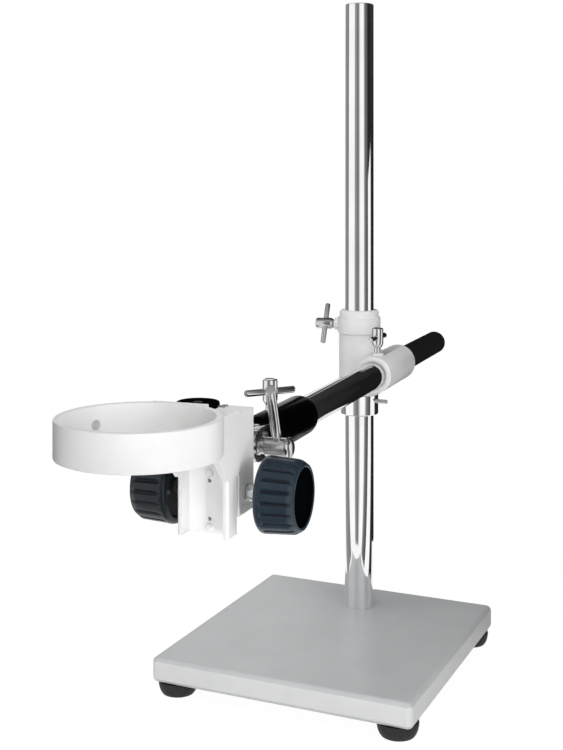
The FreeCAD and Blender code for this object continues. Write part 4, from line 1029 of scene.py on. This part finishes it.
studio = {
    "middle": (0, -0.15), "lift": 0.002, "steps": 8,
    "sky": 0.50, "floorSize": 14, "floor": 0.86, "floorGlow": 0.9, "floorWhite": 1.07,
    # Azimuth from the camera's own, elevation, distance, size, power, what it aims at, how far it spreads
    "lamp": {"aim": (0.02, -0.15, 0.22), "spread": 180},
    "lamps": [
        {"azimuth": -8, "elevation": 9, "distance": 2.2, "size": 1.0, "power": 20},
        {"azimuth": -60, "elevation": 72, "distance": 1.8, "size": 1.4, "power": 8.0},
        {"azimuth": 68, "elevation": 14, "distance": 0.55, "size": 0.22, "power": 0.85,
         "aim": (0.055, -0.42, 0.25)},
        {"azimuth": 38, "elevation": -14, "distance": 0.6, "size": 0.06, "power": 0.014,
         "aim": (0.055, -0.40, 0.20), "spread": 17},
    ],
    # Azimuth from and to, distance, heights, glow, where its foot starts on the floor, glow at the top
    "board": {"distance": 2.4, "height": (0.0, 2.6), "foot": 0.2},
    "boards": [
        {"azimuth": (-41, -7), "glow": (0.38, 0.12)},
        {"azimuth": (-7, 7), "glow": (0.30, 0.85)},
        {"azimuth": (38, 47), "glow": (0.60, 0.25)},
        {"azimuth": (47, 75), "glow": (0.20, 0.05)},
        {"azimuth": (107, 128), "distance": 1.1, "height": (0.0, 0.6), "glow": (0.04, 0.02), "foot": 0.25},
        {"azimuth": (128, 177), "distance": 1.1, "height": (0.0, 0.6), "glow": (0.015, 0.01), "foot": 0.45},
        {"azimuth": (107, 177), "distance": 1.1, "height": (0.6, 1.6), "glow": (0.02, 0.02), "foot": 0,
         "top": 0.07},
        {"azimuth": (-150, -98), "glow": (0.32, 0.20)},
        {"azimuth": (75, 107), "height": (0.95, 2.6), "glow": (0.02, 0.02), "foot": 0},
    ],
    "ceiling": {"height": 2.7, "width": 5.0, "split": -0.45, "front": (0.55, 0.35), "back": (0.16, 0.04)},
    # What each stands beside, how far to the left of that, its width and heights
    "flags": [
        {"beside": "head_ring_bore", "left": 0.13, "width": 0.4, "height": (0.12, 0.46)},
        {"beside": "column_axis_at_bench", "left": -0.21, "width": 0.5, "height": (0.002, 0.13)},
    ],
}
photo = {
    "width": 563, "height": 750, "place": (0.3727, -0.9913, 0.3957), "azimuth": 24.24, "sensor": 36,
    "focal": 1221.86, "axisX": 281.5, "axisY": 181.78, "nearest": 0.05,
}


def seenBy(tree, *rays):
    # 1 for any of these kinds of rays, else 0
    path = tree.nodes.new("ShaderNodeLightPath")
    seen = path.outputs[rays[0]]
    for ray in rays[1:]:
        most = tree.nodes.new("ShaderNodeMath")
        most.operation = "MAXIMUM"
        tree.links.new(seen, most.inputs[0])
        tree.links.new(path.outputs[ray], most.inputs[1])
        seen = most.outputs[0]
    return seen


def makeWorld():
    # White for what the camera, a mirror or a lens sees, else a plain glow
    world = bpy.data.worlds.new("studio")
    bpy.context.scene.world = world
    world.use_nodes = True
    tree = world.node_tree
    scale = tree.nodes.new("ShaderNodeMapRange")
    scale.inputs["To Min"].default_value = studio["sky"]
    scale.inputs["To Max"].default_value = 1.0
    seen = seenBy(tree, "Is Camera Ray", "Is Glossy Ray", "Is Transmission Ray")
    tree.links.new(seen, scale.inputs["Value"])
    background = tree.nodes["Background"]
    background.inputs["Color"].default_value = (1, 1, 1, 1)
    tree.links.new(scale.outputs[0], background.inputs["Strength"])


def makeFloor():
    bpy.ops.object.select_all(action="DESELECT")
    bpy.ops.mesh.primitive_plane_add(size=studio["floorSize"])
    floor = bpy.context.object
    floor.name = "floor"
    material = bpy.data.materials.new("paleFloor")
    material.use_nodes = True
    tree = material.node_tree
    tree.nodes.remove(tree.nodes["Principled BSDF"])
    matt = tree.nodes.new("ShaderNodeBsdfDiffuse")
    matt.inputs["Color"].default_value = (studio["floor"],) * 3 + (1,)
    glow = tree.nodes.new("ShaderNodeEmission")
    glow.inputs["Strength"].default_value = studio["floorWhite"]
    part = tree.nodes.new("ShaderNodeMath")
    part.operation = "MULTIPLY"
    part.inputs[1].default_value = studio["floorGlow"]
    tree.links.new(seenBy(tree, "Is Camera Ray", "Is Glossy Ray"), part.inputs[0])
    mix = tree.nodes.new("ShaderNodeMixShader")
    for index, source in enumerate((part, matt, glow)):
        tree.links.new(source.outputs[0], mix.inputs[index])
    tree.links.new(mix.outputs[0], tree.nodes["Material Output"].inputs["Surface"])
    floor.data.materials.append(material)


def towards(azimuth):
    # The level direction at an azimuth from the camera's own
    turn = math.radians(photo["azimuth"] + azimuth)
    return Vector((math.sin(turn), -math.cos(turn), 0))


def around(azimuth, distance, height):
    return Vector((*studio["middle"], height)) + towards(azimuth) * distance


def makeLamps():
    for index, lamp in enumerate(studio["lamps"]):
        lamp = {**studio["lamp"], **lamp}
        light = bpy.data.lights.new(f"lamp{index}", "AREA")
        light.size = lamp["size"]
        light.energy = lamp["power"]
        light.spread = math.radians(lamp["spread"])
        obj = bpy.data.objects.new(light.name, light)
        bpy.context.collection.objects.link(obj)
        aim, lift = Vector(lamp["aim"]), math.radians(lamp["elevation"])
        way = towards(lamp["azimuth"]) * math.cos(lift) + Vector((0, 0, math.sin(lift)))
        obj.location = aim + way * lamp["distance"]
        obj.rotation_mode = "QUATERNION"
        obj.rotation_quaternion = (-way).to_track_quat("-Z", "Y")
        obj.visible_glossy = False


def makeBoard(name, points, faces, glows):
    # A board that only polished metal and gloss paint see, with a glow for each point
    mesh = bpy.data.meshes.new(name)
    mesh.from_pydata([tuple(p) for p in points], [], faces)
    mesh.attributes.new("glow", "FLOAT", "POINT").data.foreach_set("value", glows)
    board = bpy.data.objects.new(name, mesh)
    bpy.context.collection.objects.link(board)
    material = bpy.data.materials.new(name)
    material.use_nodes = True
    tree = material.node_tree
    tree.nodes.remove(tree.nodes["Principled BSDF"])
    light = tree.nodes.new("ShaderNodeEmission")
    level = tree.nodes.new("ShaderNodeAttribute")
    level.attribute_name = "glow"
    tree.links.new(level.outputs["Fac"], light.inputs["Strength"])
    tree.links.new(light.outputs[0], tree.nodes["Material Output"].inputs["Surface"])
    mesh.materials.append(material)
    for way in ("camera", "diffuse", "shadow", "transmission", "volume_scatter"):
        setattr(board, "visible_" + way, False)
    return board


def makeBoards():
    count, lift = studio["steps"], studio["lift"]
    for index, board in enumerate(studio["boards"]):
        board = {**studio["board"], **board}
        first, last = board["azimuth"]
        low, high = board["height"]
        start, end = board["glow"]
        distance, foot = board["distance"], board["foot"]
        points, glows = [], []
        for step in range(count + 1):
            share = step / count
            glow = start + (end - start) * share
            glows += [glow, glow, board.get("top", glow)]
            turn = first + (last - first) * share
            points.append(around(turn, foot or distance, lift if foot else low))
            points.append(around(turn, distance, max(low, lift)))
            points.append(around(turn, distance, high))
        starts = [3 * row + k for row in range(count) for k in (0, 1)]
        faces = [(i, i + 3, i + 4, i + 1) for i in starts]
        makeBoard(f"board{index}", points, faces, glows)
    ceiling = studio["ceiling"]
    half, height, split = ceiling["width"] / 2, ceiling["height"], ceiling["split"]
    for part, near, far in (("front", -half, split), ("back", split, half)):
        corners = [(-half, near, height), (half, near, height), (half, far, height), (-half, far, height)]
        start, end = ceiling[part]
        makeBoard("ceiling" + part.title(), corners, [(0, 1, 2, 3)], [start, start, end, end])


def makeFlags():
    # Black flags that keep the room's light off the ring's left side and the base's right side
    toCamera, toLeft = towards(0), towards(-90)
    for index, flag in enumerate(studio["flags"]):
        beside = Vector(mounts[flag["beside"]]["pos_m"])
        low, high = flag["height"]
        centre = Vector((beside.x, beside.y, 0)) + toLeft * flag["left"]
        half, up = toCamera * flag["width"] / 2, Vector((0, 0, 1))
        points = [centre + way * half + up * height
                  for way, height in ((-1, low), (1, low), (1, high), (-1, high))]
        board = makeBoard(f"flag{index}", points, [(0, 1, 2, 3)], [0.0] * 4)
        board.visible_diffuse = board.visible_shadow = True
        board.visible_glossy = False


def makeCamera():
    data = bpy.data.cameras.new("camera")
    camera = bpy.data.objects.new("camera", data)
    bpy.context.collection.objects.link(camera)
    camera.location = photo["place"]
    camera.rotation_euler = (math.radians(90), 0, math.radians(photo["azimuth"]))
    data.sensor_fit = "AUTO"
    data.sensor_width = photo["sensor"]
    data.lens = photo["focal"] * photo["sensor"] / photo["height"]
    data.shift_x = (photo["width"] / 2 - photo["axisX"]) / photo["height"]
    data.shift_y = (photo["axisY"] - photo["height"] / 2) / photo["height"]
    data.clip_start = photo["nearest"]
    bpy.context.scene.camera = camera


print("studio")
makeWorld()
makeFloor()
makeLamps()
makeBoards()
makeFlags()
makeCamera()
bpy.context.scene.view_settings.view_transform = "Standard"
